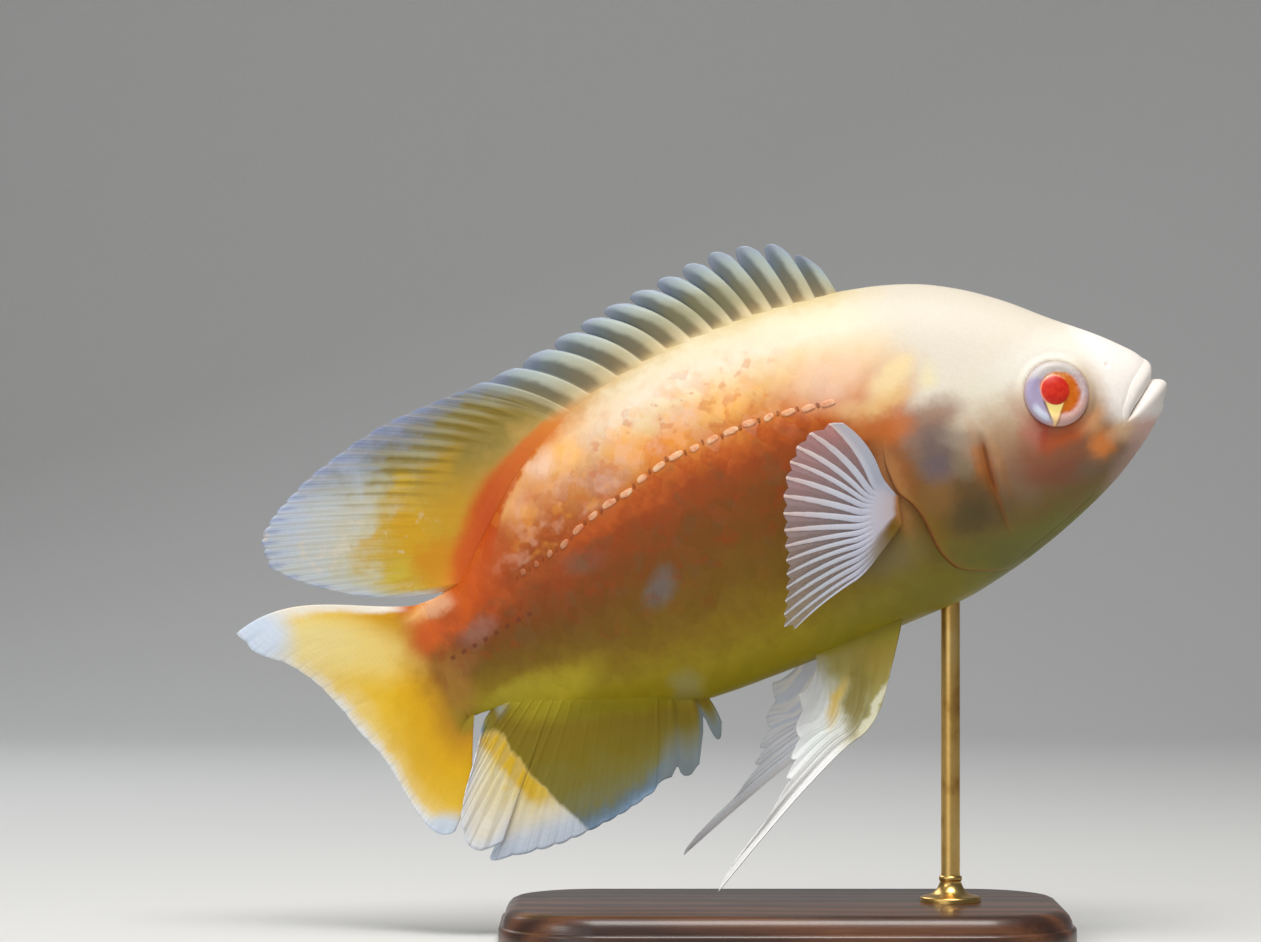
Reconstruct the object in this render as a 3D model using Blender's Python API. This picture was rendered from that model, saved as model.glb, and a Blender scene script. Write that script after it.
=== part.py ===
"""A life-size oscar fish, pale lemon-and-orange form, held nose-up on a plain display stand.

Every length is in millimetres and becomes metres where a mesh is made. The fish is modelled in its own frame,
whose places are (s, h, y): s runs back from the snout along the body's axis, h runs up, and y runs to its left.
"""

import math

import bmesh
import bpy
import numpy as np

MM = 0.001
GAP = 0.3

# How the fish hangs: its snout's place over the middle of the stand's underside, and its slope, nose up
SNOUT_X = 97.3
SNOUT_Z = 147.8
PITCH_DEG = 21.4

# The stand: a round-cornered plate and one turned rod with a flange, cut slanting under the throat
BASE_LENGTH = 150.0
BASE_WIDTH = 86.0
BASE_THICK = 10.0
BASE_CORNER = 26.0
BASE_BEVEL = 2.0
ROD_RADIUS = 2.5
ROD_S = 72.0
FLANGE_RADIUS = 8.0
FLANGE_THICK = 1.6
FLANGE_FILLET = 4.0

# Where the body is parted, and the sideways sweep of its rear
TORSO_END = 152.0
BODY_END = 204.0
SWEEP_START = 80.0
SWEEP_REACH = 120.0
SWEEP = 5.0

AROUND = 48
QUARTER = AROUND // 4


def smooth(*points):
    """A curve through (place, value) points that never overshoots: cubic steps with limited slopes."""
    at, value = np.array(points, float).T
    step = np.diff(at)
    slope = np.diff(value) / step
    product = slope[:-1] * slope[1:]
    total = np.where(product > 0, slope[:-1] + slope[1:], 1.0)
    tangent = np.concatenate([slope[:1], np.where(product > 0, 2 * product / total, 0.0), slope[-1:]])

    def curve(x):
        x = np.clip(x, at[0], at[-1])
        i = np.clip(np.searchsorted(at, x) - 1, 0, len(step) - 1)
        t = (x - at[i]) / step[i]
        ends = value[i] * (1 + 2 * t) * (1 - t) ** 2 + value[i + 1] * t * t * (3 - 2 * t)
        return ends + step[i] * t * (1 - t) * (tangent[i] * (1 - t) - tangent[i + 1] * t)

    return curve


# The body's outline from the side, its half width from above, and the height of its widest line
back_line = smooth(
    (-1, 2.6), (0, 4.8), (2, 8), (5, 11.4), (10, 16.4), (20, 25), (30, 34), (40, 41.2), (50, 46.4),
    (62, 50.2), (78, 53.2), (95, 54.9), (112, 55), (128, 53.4), (142, 50.6), (154, 46.4), (166, 39.6),
    (178, 29.6), (187, 21.6), (193, 16.6), (199, 15.4), (206, 15.6),
)
belly_line = smooth(
    (-1, -6.2), (0, -7.5), (2, -9.4), (5, -11.9), (10, -15.6), (20, -21.6), (30, -26), (42, -30.3),
    (55, -33.8), (70, -36.2), (95, -36.6), (125, -36.6), (138, -36.2), (148, -33.6), (160, -29.6),
    (174, -25), (186, -20.4), (193, -18.2), (199, -17.8), (206, -18.6),
)
half_width = smooth(
    (-1, 3), (0, 4.6), (2, 7.2), (5, 9.6), (10, 12), (18, 14.3), (26, 15.9), (40, 18.2), (55, 20), (72, 20.8),
    (90, 20.5), (110, 18.9), (130, 16.3), (150, 12.9), (170, 9.2), (186, 6.3), (198, 4.3), (206, 2.6),
)
widest_line = smooth((-1, -2), (5, -2), (15, -2.6), (30, -1), (50, 1.5), (75, 3), (120, 4), (160, 2), (206, -1.5))
# Above one the section is pinched towards the ridge, below one it is full
back_pinch = smooth((0, 0.9), (20, 1.0), (60, 1.12), (120, 1.2), (206, 1.0))
belly_pinch = smooth((0, 0.8), (30, 0.85), (80, 0.8), (130, 0.95), (206, 1.0))

# The rear edge of the gill cover and the groove of the cheek, each as a distance s at an angle round the body
gill_edge = smooth(
    (-90, 48), (-72, 55), (-60, 61.5), (-48, 68), (-36, 70.5), (-22, 71.3), (-15, 72.6), (-8, 75),
    (3, 75.3), (10, 73.5), (18, 70), (30, 67), (55, 65), (90, 64),
)
cheek_line = smooth((-90, 42), (-60, 49.5), (-40, 51.3), (-20, 51), (0, 49.6), (20, 48), (50, 46), (90, 44))
gill_lift = smooth((-90, 0), (-80, 0), (-66, 1), (-6, 1), (12, 0), (90, 0))
groove_depth = smooth((-90, 0), (-56, 0), (-44, 1), (-4, 1), (8, 0), (90, 0))
GILL_RAISE = 0.6
GILL_STEP = 1.1
GROOVE = 1.3

# The mouth: from the middle of the lips to a corner, whose angle round the body is below its widest line
MOUTH_FRONT = 1.2
MOUTH_REACH = 9.6
MOUTH_HALF_WIDTH = 9.8
MOUTH_SLOPE = 0.68
MOUTH_HEIGHT = 0.2
MOUTH_CORNER_S = 13.0
MOUTH_CORNER_DEG = -22.0
MOUTH_DEPTH = 2.4
LIP_PARTING = 0.25
LOWER_LIP_S = 0.5
UPPER_LIP_FULLNESS = 1.6
LOWER_LIP_FULLNESS = 3.1
CORNER_FULLNESS = 0.7
HEAD_CORE = np.array([12.0, -4.0, 0.0])
# How far back the upper lip ends on the face, from its middle at nothing to the corner of the mouth at one
upper_lip_s = smooth(
    (0, 0.6), (0.33, 1.1), (0.52, 3), (0.64, 5.5), (0.77, 9.2), (0.88, 12), (1, MOUTH_CORNER_S),
)

# The eye: a shallow dome set in the side of the head
EYE_S = 27.1
EYE_H = 5.9
EYE_RADIUS = 8.6
EYE_DOME = 4.6
EYE_SUNK = 1.5
NOSTRIL_S = 11.5
NOSTRIL_H = 8.0
NOSTRIL_RADIUS = 0.9


def section(s, angle, side):
    """Places on the plain body at distance s and angle round it, in degrees up from its widest line."""
    turn = np.radians(angle)
    up = np.sin(turn)
    centre = widest_line(s)
    reach = np.where(up >= 0, back_line(s) - centre, centre - belly_line(s))
    pinch = np.where(up >= 0, back_pinch(s), belly_pinch(s))
    out = half_width(s) * np.clip(np.cos(turn), 0, 1) ** pinch
    return np.stack(np.broadcast_arrays(s, centre + reach * up, side * out), axis=-1)


def section_normal(s, angle, side):
    """The way out of the plain body, from two short steps over its surface."""
    along = section(s + 0.2, angle, side) - section(s - 0.2, angle, side)
    round_it = section(s, np.clip(angle + 0.5, -90, 90), side) - section(s, np.clip(angle - 0.5, -90, 90), side)
    out = np.cross(along, round_it) * np.asarray(side)[..., None]
    return out / np.maximum(np.linalg.norm(out, axis=-1, keepdims=True), 1e-9)


def skin(s, angle, side):
    """The body with the relief of the head: the gill cover's raised edge and the groove of the cheek."""
    from_gill = s - gill_edge(angle)
    from_cheek = s - cheek_line(angle)
    cover = GILL_RAISE * gill_lift(angle) * np.where(from_gill <= 0, np.exp(from_gill / 7), 0)
    behind = (GILL_STEP - GILL_RAISE) * gill_lift(angle) * np.where(from_gill > 0, np.exp(-from_gill / 6), 0)
    groove = np.exp(-((from_cheek / 1.1) ** 2)) - 0.4 * np.exp(-(((np.abs(from_cheek) - 2.4) / 1.6) ** 2))
    relief = cover - behind - GROOVE * groove_depth(angle) * groove
    return section(s, angle, side) + section_normal(s, angle, side) * relief[..., None]


def flank(s, h, side):
    """The place on the skin at distance s and height h, and the way out there."""
    centre = widest_line(s)
    reach = np.where(h >= centre, back_line(s) - centre, centre - belly_line(s))
    angle = np.degrees(np.arcsin(np.clip((h - centre) / reach, -1, 1)))
    return skin(s, angle, side), section_normal(s, angle, side)


def swept(places):
    """Places in the fish's frame, with its rear swept to the left, as the fish's own axes in metres."""
    s, h, y = np.moveaxis(np.asarray(places, float), -1, 0)
    sideways = SWEEP * (np.clip(s - SWEEP_START, 0, None) / SWEEP_REACH) ** 2
    return np.stack([-s, y + sideways, h], axis=-1) * MM


def ring_angles():
    """Angles round the body and sides, from the back down the right side to the belly and up the left.
    A quarter of them ends at the level of the mouth's corners, so lengthwise lines run straight back from there."""
    above = np.linspace(90, MOUTH_CORNER_DEG, QUARTER, endpoint=False)
    below = np.linspace(MOUTH_CORNER_DEG, -90, QUARTER, endpoint=False)
    down = np.concatenate([above, below])
    angle = np.concatenate([down, [-90.0], down[:0:-1]])
    side = np.where(np.arange(AROUND) <= 2 * QUARTER, -1.0, 1.0)
    return angle, side


def corner_share(angle):
    """None at the middle of the lips and one at a corner of the mouth, and whether a place is on the upper lip."""
    upper = angle >= MOUTH_CORNER_DEG
    middle = np.where(upper, 90.0, -90.0)
    return (middle - angle) / (middle - MOUTH_CORNER_DEG), upper


def paint(name, colour, roughness, metallic=0.0):
    """A plain surface of one colour."""
    material = bpy.data.materials.new(name)
    material.use_nodes = True
    surface = material.node_tree.nodes["Principled BSDF"]
    surface.inputs["Base Color"].default_value = (*colour, 1.0)
    surface.inputs["Roughness"].default_value = roughness
    surface.inputs["Metallic"].default_value = metallic
    return material


def node(name, points, faces, material, parent=None):
    """One named solid from points in metres and faces, turned so that its faces point out."""
    points = np.asarray(points, float)
    corners = points[np.array([(f[0], f[i], f[i + 1]) for f in faces for i in range(1, len(f) - 1)])]
    if np.linalg.det(corners).sum() < 0:
        faces = [f[::-1] for f in faces]
    mesh = bpy.data.meshes.new(name)
    mesh.from_pydata(points.tolist(), [], [list(map(int, f)) for f in faces])
    mesh.materials.append(material)
    mesh.shade_smooth()
    solid = bpy.data.objects.new(name, mesh)
    bpy.context.scene.collection.objects.link(solid)
    solid.parent = parent
    return solid


def tube_faces(rows, count):
    """Quads between the rings of a loft."""
    faces = []
    for r in range(rows - 1):
        for k in range(count):
            after = (k + 1) % count
            faces.append((r * count + k, r * count + after, (r + 1) * count + after, (r + 1) * count + k))
    return faces


def fan_faces(first, centre, count, front):
    """Triangles from the ring that begins at an index to a middle point, at the front or the back of a loft."""
    pairs = [(first + k, first + (k + 1) % count) for k in range(count)]
    return [(b, a, centre) if front else (a, b, centre) for a, b in pairs]


def cone_rings(outer, centre, shares):
    """Rings that shrink from an outer one to a middle point, for the face where two lengths of body meet."""
    return [centre + (outer - centre) * share for share in shares]


def lofted(name, rings, material, parent, front=None, back=None):
    """A solid through rings, closed by a fan at each end that has a middle point."""
    count = len(rings[0])
    points = np.concatenate(rings)
    faces = tube_faces(len(rings), count)
    for first, centre in ((0, front), ((len(rings) - 1) * count, back)):
        if centre is not None:
            faces += fan_faces(first, len(points), count, first == 0)
            points = np.vstack([points, centre])
    return node(name, swept(points), faces, material, parent)


GILL_CORE = np.array([66.0, 4.0, 0.0])
CONE_SHARES = (0.66, 0.33)


def gill_ring():
    """The head's rear edge, which is the free edge of the gill covers."""
    angle, side = ring_angles()
    return skin(gill_edge(angle), angle, side)


def mouth_rows(angle, side):
    """Rings from inside the closed mouth over the lips to the crease behind them."""
    share, upper = corner_share(angle)
    turn = np.radians(90 * share)
    gape_s = MOUTH_FRONT + MOUTH_REACH * (1 - np.cos(turn))
    gape_h = MOUTH_HEIGHT - MOUTH_SLOPE * (gape_s - MOUTH_FRONT)
    gape = np.stack([gape_s, gape_h, side * MOUTH_HALF_WIDTH * np.sin(turn)], axis=-1)
    crease = section(lip_crease(angle), angle, side)
    parting = LIP_PARTING * np.where(upper, 1, -1) * (share < 1)
    parted = gape + parting[:, None] * np.array([0.72, 0.7, 0])
    inside = parted + MOUTH_DEPTH * (1 - 0.6 * share)[:, None] * np.array([0.72, -0.7, 0])
    inside[:, 2] *= 0.8
    out = (gape + crease) / 2 - HEAD_CORE
    out /= np.linalg.norm(out, axis=1, keepdims=True)
    middle_fullness = np.where(upper, UPPER_LIP_FULLNESS, LOWER_LIP_FULLNESS)
    fullness = middle_fullness + (CORNER_FULLNESS - middle_fullness) * share**1.5
    rows = [inside]
    for t in (0.0, 0.12, 0.35, 0.62, 0.86):
        bulge = np.sin(math.pi * t**0.75) * fullness
        rows.append(parted + (crease - parted) * t + out * bulge[:, None])
    return rows


def lip_crease(angle):
    """How far back the lips end on the face."""
    share, upper = corner_share(angle)
    lower_s = LOWER_LIP_S + (MOUTH_CORNER_S - LOWER_LIP_S) * share**2.2
    return np.where(upper, upper_lip_s(share), lower_s)


def make_head(material, parent):
    """Lips, face and gill covers in one solid, with sockets for the eyes and pits for the nostrils."""
    angle, side = ring_angles()
    rings = mouth_rows(angle, side)
    crease = lip_crease(angle)
    for t in (0.0, 0.07, 0.16, 0.27, 0.39, 0.52, 0.66, 0.8, 0.91):
        rings.append(skin(crease + (cheek_line(angle) - 3.2 - crease) * t, angle, side))
    for past in (-3.0, -1.4, 0.0, 1.4, 3.2):
        rings.append(skin(cheek_line(angle) + past, angle, side))
    for t in (0.22, 0.42, 0.62, 0.8, 0.93):
        s = cheek_line(angle) + 3.2 + (gill_edge(angle) - cheek_line(angle) - 3.2) * t
        rings.append(skin(s, angle, side))
    edge = gill_ring()
    rings.append(edge)
    rings += cone_rings(edge, GILL_CORE, CONE_SHARES)
    head = lofted("head", rings, material, parent, back=GILL_CORE)
    close_mouth(head)
    for cutter in (*eye_solids("eye_socket", GAP, material, parent), *nostril_cutters(material, parent)):
        carve(head, cutter)
    return head


def close_mouth(head):
    """Faces between the upper and the lower inner edge of the lips, the back wall of the closed mouth."""
    mesh = bmesh.new()
    mesh.from_mesh(head.data)
    mesh.verts.ensure_lookup_table()
    at = mesh.verts
    for k in range(QUARTER):
        below = 2 * QUARTER - k
        right = [at[k], at[k + 1], at[below - 1], at[below]]
        left = [at[(AROUND - k) % AROUND], at[AROUND - k - 1], at[2 * QUARTER + k + 1], at[2 * QUARTER + k]]
        for corners in (right, left):
            mesh.faces.new(dict.fromkeys(corners))
    bmesh.ops.recalc_face_normals(mesh, faces=mesh.faces)
    mesh.to_mesh(head.data)
    mesh.free()


def carve(solid, cutter):
    """Cuts one solid's shape out of another, and applies the cut."""
    cutter.hide_render = True
    cutter.display_type = "WIRE"
    cut = solid.modifiers.new("cut", "BOOLEAN")
    cut.operation = "DIFFERENCE"
    cut.object = cutter
    bpy.context.view_layer.update()
    graph = bpy.context.evaluated_depsgraph_get()
    cut_mesh = bpy.data.meshes.new_from_object(solid.evaluated_get(graph))
    solid.modifiers.clear()
    solid.data = cut_mesh
    bpy.data.objects.remove(cutter)


def dome_points(centre, axes, radii, rings, count):
    """A closed ellipsoid's rings, pole to pole along the third axis, without its poles."""
    points = []
    for r in range(1, rings):
        lean = math.pi * r / rings
        for k in range(count):
            turn = 2 * math.pi * k / count
            local = (math.sin(lean) * math.cos(turn), math.sin(lean) * math.sin(turn), math.cos(lean))
            points.append(centre + sum(a * q * x for a, q, x in zip(axes, radii, local)))
    return points


def ellipsoid(name, centre, axes, radii, rings, count, material, parent):
    """A closed ellipsoid in the fish's frame."""
    points = dome_points(centre, axes, radii, rings, count)
    poles = [centre + axes[2] * radii[2], centre - axes[2] * radii[2]]
    faces = tube_faces(rings - 1, count)
    faces += fan_faces(0, len(points), count, True)
    faces += fan_faces((rings - 2) * count, len(points) + 1, count, False)
    return node(name, swept(np.array(points + poles)), faces, material, parent)


def side_name(side):
    return "right" if side < 0 else "left"


def eye_frame(side):
    """The middle of the eye's dome, and its three axes, the last one out of the head."""
    place, out = flank(np.array(EYE_S), np.array(EYE_H), side)
    ahead = np.cross(out, np.array([0.0, 1.0, 0.0]))
    ahead /= np.linalg.norm(ahead)
    return place - out * EYE_SUNK, (ahead, np.cross(out, ahead), out)


def eye_solids(name, more, material, parent):
    """One dome for each eye, larger by some distance where it is the socket's cutter."""
    radii = (EYE_RADIUS + more, EYE_RADIUS + more, EYE_DOME + more)
    return [
        ellipsoid(f"{name}_{side_name(side)}", *eye_frame(side), radii, 8, 20, material, parent)
        for side in (-1.0, 1.0)
    ]


def nostril_cutters(material, parent):
    """Small balls half sunk in the snout."""
    axes = np.eye(3)
    radii = (NOSTRIL_RADIUS,) * 3
    made = []
    for side in (-1.0, 1.0):
        place, _ = flank(np.array(NOSTRIL_S), np.array(NOSTRIL_H), side)
        made.append(ellipsoid(f"nostril_{side_name(side)}", place, axes, radii, 4, 8, material, parent))
    return made


def make_torso(material, parent):
    """The body from under the gill covers to the tail stalk."""
    angle, side = ring_angles()
    head_edge = gill_ring()
    spread = np.linalg.norm(head_edge - GILL_CORE, axis=1)
    share = 1 - (GILL_STEP + 0.05) * gill_lift(angle) / spread
    first = GILL_CORE + (head_edge - GILL_CORE) * share[:, None]
    behind = np.array([GAP, 0.0, 0.0])
    rings = [ring + behind for ring in cone_rings(first, GILL_CORE, CONE_SHARES[::-1])]
    rings.append(first + behind)
    start = gill_edge(angle)
    for t in (0.04, 0.1, 0.18, 0.28, 0.4, 0.52, 0.64, 0.76, 0.88, 1.0):
        rings.append(skin(start + (TORSO_END - GAP / 2 - start) * t, angle, side))
    middle = np.array([TORSO_END - GAP / 2, 4.0, 0.0])
    return lofted("torso", rings, material, parent, front=GILL_CORE + behind, back=middle)


def make_tail_stalk(material, parent):
    """The rear of the body, from the torso to the root of the tail fin."""
    angle, side = ring_angles()
    rings = []
    for t in (0.0, 0.12, 0.25, 0.38, 0.5, 0.6, 0.68, 0.75, 0.82, 0.9, 1.0):
        s = TORSO_END + GAP / 2 + (BODY_END - TORSO_END - GAP / 2) * t
        rings.append(skin(np.full(AROUND, s), angle, side))
    front = np.array([TORSO_END + GAP / 2, 4.0, 0.0])
    back = np.array([BODY_END, -1.5, 0.0])
    return lofted("tail_stalk", rings, material, parent, front=front, back=back)


def fin_solid(name, mid, thick, material, parent, seat=None):
    """A thin closed sheet round a grid of middle places [row, column], split alike on both faces.
    A seat moves the root's two edges onto what they grow from."""
    rows, columns = thick.shape
    along = np.gradient(mid, axis=1)
    outward = np.gradient(mid, axis=0)
    normal = np.cross(along, outward)
    normal /= np.maximum(np.linalg.norm(normal, axis=-1, keepdims=True), 1e-9)
    near = mid + normal * thick[..., None] / 2
    far = mid - normal * thick[..., None] / 2
    if seat:
        near[0], far[0] = seat(near[0]), seat(far[0])
    near, far = near.reshape(-1, 3), far.reshape(-1, 3)
    faces = []
    back = rows * columns
    for r in range(rows - 1):
        for c in range(columns - 1):
            a, b = r * columns + c, r * columns + c + 1
            d, e = a + columns, b + columns
            for x, y, z in ((a, b, e), (a, e, d)):
                faces.append((x, y, z))
                faces.append((z + back, y + back, x + back))
    rim = [(0, c) for c in range(columns)]
    rim += [(r, columns - 1) for r in range(1, rows)]
    rim += [(rows - 1, c) for c in range(columns - 2, -1, -1)]
    rim += [(r, 0) for r in range(rows - 2, 0, -1)]
    for (r1, c1), (r2, c2) in zip(rim, rim[1:] + rim[:1]):
        p, q = r1 * columns + c1, r2 * columns + c2
        faces.append((q, p, p + back))
        faces.append((q, p + back, q + back))
    return node(name, swept(np.concatenate([near, far])), faces, material, parent)


def ray_columns(first, last, between):
    """Column numbers along a fin: one on each ray and some on the membrane behind it."""
    numbers = [ray + share for ray in range(first, last) for share in (0.0, *between)]
    return np.array(numbers + [float(last)])


def on_ray(column):
    """One on a ray and nothing on the membrane between two."""
    return (np.abs(column - np.round(column)) < 1e-6).astype(float)


def ray_sheet(column, row, root, tip, bow, edge, late=1):
    """Middle places of a fin: each column runs from its root to its tip, bowed to its front side.
    Edge is the share of its length that a column reaches, and a late bow is fullest past the middle."""
    share = row[:, None] * edge[None, :]
    start = root(column)
    reach = tip(column) - start
    flat = reach / np.linalg.norm(reach, axis=-1, keepdims=True)
    front = np.stack([-flat[:, 1], flat[:, 0], np.zeros(len(column))], axis=-1)
    bent = share**late * (1 - share) * (late + 1) ** (late + 1) / late**late
    return start + share[..., None] * reach + bent[..., None] * (bow(column)[:, None] * front)


def ray_thickness(column, row, ray, membrane, tip_share=0.5):
    """Thick on the rays, thin between them, and thinner towards the edge."""
    full = membrane + (ray - membrane) * on_ray(column)
    return full[None, :] * (1 - (1 - tip_share) * row[:, None] ** 1.5)


SPINES = 12
DORSAL_RAYS = 32
dorsal_root_s = smooth(
    (0, 69.9), (3, 87.5), (6, 104.3), (8, 117.5), (10, 132), (12, 147), (20, 167), (24, 176.5),
    (28, 185.5), (30, 189.3), (32, 192.2),
)
dorsal_tip_s = smooth(
    (0, 71.6), (0.35, 74), (1.35, 81), (2.35, 88.5), (3.35, 96.3), (5.35, 111.5), (7.35, 127.3), (9.35, 142),
    (11.35, 160), (12, 165.5), (16, 190), (20, 215), (22, 224), (24, 230.8), (26, 235.3), (28, 235.7), (29, 232.4),
    (30, 226), (31, 215.5), (32, 204),
)
dorsal_tip_h = smooth(
    (0, 60), (0.35, 63), (1.35, 70), (2.35, 72.1), (3.35, 73.2), (5.35, 71.7), (7.35, 69.8), (9.35, 67),
    (11.35, 64), (12, 63.7), (16, 63), (20, 57.7), (22, 53.9), (24, 50.2), (26, 45.4), (28, 39), (29, 34.6),
    (30, 29.4), (31, 22.6), (32, 18),
)
dorsal_bow = smooth((0, 0.3), (3, 1.0), (7, 2.2), (12, 1.6), (20, 0.8), (28, 1.2), (32, -0.4))


def make_dorsal_fin(material, parent):
    """Twelve spines with a rounded lobe of membrane behind each, then a long soft lobe that overhangs the tail."""
    spiny = ray_columns(0, SPINES, (0.22, 0.48, 0.72, 0.88))[:-1]
    soft = ray_columns(SPINES, DORSAL_RAYS, (0.5,))
    column = np.concatenate([spiny, soft])
    row = np.array([0.0, 0.12, 0.35, 0.6, 0.8, 0.93, 1.0])
    lobe = smooth((0, 0.88), (0.14, 0.97), (0.34, 1.0), (0.58, 0.97), (0.8, 0.87), (0.93, 0.75), (1, 0.7))
    tied = smooth((0, 0), (8, 0.1), (12, 0.75), (14, 1), (32, 1))(column)
    edge = lobe(column - np.floor(column)) * (1 - tied) + tied * (1 - 0.012 * (1 - on_ray(column)))

    def root(c):
        s = dorsal_root_s(c)
        return np.stack([s, back_line(s) + GAP, 0 * s], axis=-1)

    def tip(c):
        return np.stack([dorsal_tip_s(c), dorsal_tip_h(c), 0 * c], axis=-1)

    mid = ray_sheet(column, row, root, tip, dorsal_bow, edge)
    mid[..., 2] += 1.6 * row[:, None] ** 2 * np.sin(column / 5)[None, :]
    ray = smooth((0, 1.7), (12, 1.5), (14, 1.2), (32, 1.0))(column)
    return fin_solid("dorsal_fin", mid, ray_thickness(column, row, ray, 0.6), material, parent)


ANAL_RAYS = 18
anal_root_s = smooth((0, 140.6), (1, 144.6), (2, 149.6), (3, 153), (18, 191.8))
anal_tip_s = smooth(
    (0, 139.2), (0.4, 141.4), (0.95, 145), (1, 149), (1.4, 152.6), (1.95, 156.5), (2, 158), (3, 163), (6, 176),
    (9, 190), (11, 200), (12.4, 209.6), (13, 204.6), (13.5, 210), (14.2, 213.5), (15, 212.6), (16, 209.4),
    (17, 204.4), (18, 199),
)
anal_tip_h = smooth(
    (0, -43.5), (0.4, -46.8), (0.95, -47), (1, -51.4), (1.4, -52.9), (1.95, -52.5), (2, -51.4), (3, -53.6),
    (6, -56.4), (9, -57.5), (11, -56.6), (12.4, -54.5), (13, -51.4), (13.5, -51.9), (14.2, -47.4), (15, -42),
    (16, -36.2), (17, -29.6), (18, -22.2),
)
anal_bow = smooth((0, -0.6), (1, -1.2), (3, -0.6), (12, 0), (18, 1.2))
anal_wave = smooth((0, 0), (6, 1.2), (11, 1.6), (12.4, 0.8), (13.5, -1.8), (15, -3), (18, -2.2))


def make_anal_fin(material, parent):
    """Three short spines, the first two with free lobes, then one soft lobe under the tail stalk."""
    column = np.concatenate([ray_columns(0, 3, (0.25, 0.5, 0.75, 0.9))[:-1], ray_columns(3, ANAL_RAYS, (0.5,))])
    row = np.array([0.0, 0.12, 0.35, 0.6, 0.82, 1.0])
    lobe = smooth((0, 0.94), (0.25, 1.0), (0.5, 0.98), (0.75, 0.82), (0.9, 0.5), (1, 0.5))
    tied = smooth((0, 0), (0.9, 0), (1, 0.5), (1.9, 0.7), (2, 1), (18, 1))(column)
    edge = lobe(column - np.floor(column)) * (1 - tied) + tied * (1 - 0.015 * (1 - on_ray(column)))

    def root(c):
        s = anal_root_s(c)
        return np.stack([s, belly_line(s) - GAP, 0 * s], axis=-1)

    def tip(c):
        return np.stack([anal_tip_s(c), anal_tip_h(c), 0 * c], axis=-1)

    mid = ray_sheet(column, row, root, tip, anal_bow, edge)
    mid[..., 2] += row[:, None] ** 1.5 * anal_wave(column)[None, :]
    ray = smooth((0, 1.7), (2, 1.4), (4, 1.1), (18, 1.0))(column)
    return fin_solid("anal_fin", mid, ray_thickness(column, row, ray, 0.6), material, parent)


CAUDAL_RAYS = 16
caudal_tip_s = smooth(
    (0, 250.6), (1, 248), (3, 240.5), (5, 235.8), (7, 232.4), (9, 229.6), (11, 226.2), (13, 224.4), (14.3, 223.2),
    (15.2, 221.6), (15.6, 219), (15.85, 216.2), (16, 212.6),
)
caudal_tip_h = smooth(
    (0, 25.6), (1, 19.6), (3, 12.6), (5, 5.6), (7, -2.4), (9, -11.2), (11, -19.8), (13, -30), (14.3, -36.5),
    (15.2, -41), (15.6, -44), (15.85, -44.6), (16, -41),
)
caudal_bow = smooth((0, 4.6), (3, 2.6), (8, 0), (13, -0.6), (16, -1.4))
caudal_wave = smooth((0, 0.5), (8, 5.5), (13, 4), (16, 2.5))
# The last rays grow forward along the underside of the tail stalk
CAUDAL_TURN = 14.5
caudal_root_s = smooth((0, BODY_END + GAP), (CAUDAL_TURN, BODY_END + GAP), (CAUDAL_RAYS, 199.4))
caudal_root_h = smooth((0, 15.0), (7.3, -1.5), (CAUDAL_TURN, -18.5), (CAUDAL_RAYS, -18.2))


def make_caudal_fin(material, parent):
    """The tail fin: a broad fan of rays, widely spread, with its middle bowed to the left."""
    column = np.sort(np.append(ray_columns(0, CAUDAL_RAYS, (0.5,)), CAUDAL_RAYS - 0.2))
    row = np.array([0.0, 0.1, 0.28, 0.48, 0.66, 0.84, 1.0])
    edge = 1 - 0.02 * (1 - on_ray(column))

    def root(c):
        return np.stack([caudal_root_s(c), caudal_root_h(c), 0 * c], axis=-1)

    def tip(c):
        return np.stack([caudal_tip_s(c), caudal_tip_h(c), 0 * c], axis=-1)

    mid = ray_sheet(column, row, root, tip, caudal_bow, edge, late=2)
    mid[..., 2] += row[:, None] ** 1.6 * caudal_wave(column)[None, :]
    # The root is as thick as the end of the tail stalk at its height, so that the two meet face to face
    upright = caudal_root_h(column)
    stalk = 2 * np.abs(flank(np.full(len(column), BODY_END), upright, 1.0)[0][:, 2])
    thick = ray_thickness(column, row, 1.2, 0.6)
    blend = np.clip(1 - row / 0.28, 0, 1)[:, None]
    thick = thick * (1 - blend) + np.maximum(stalk, 1.0)[None, :] * blend
    return fin_solid("caudal_fin", mid, thick, material, parent)


PECTORAL_RAYS = 16
# The fin's outline by the share of its rays, counted from the foremost: tips, and knuckles where the rays part
pectoral_tip_s = smooth(
    (0, 82.1), (0.07, 85.9), (0.14, 92.2), (0.21, 96.7), (0.29, 100), (0.36, 102.7), (0.43, 104.7),
    (0.57, 107.6), (0.71, 110.1), (0.86, 113.6), (0.93, 115.1), (1, 112.7),
)
pectoral_tip_h = smooth(
    (0, 19.2), (0.07, 20.3), (0.14, 19.6), (0.21, 16.7), (0.29, 12.8), (0.36, 8.3), (0.43, 3.6),
    (0.57, -5.3), (0.71, -12.9), (0.86, -20.5), (0.93, -24), (1, -25.8),
)
pectoral_knuckle_s = smooth((0, 77.7), (0.12, 81.8), (0.3, 84.5), (0.5, 87.1), (0.7, 88.4), (1, 91.3))
pectoral_knuckle_h = smooth((0, 2.5), (0.12, -0.4), (0.3, -2.8), (0.5, -7.6), (0.7, -12.3), (1, -19.5))
pectoral_bow = smooth((0, 1.6), (0.2, 1.2), (0.5, 0.3), (0.75, 0.9), (1, 0.8))
PECTORAL_ROOT = ((77.0, -3.6), (78.2, -10.4))
PECTORAL_FLARE = 11.0
KNUCKLE_ROW = 0.3


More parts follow.
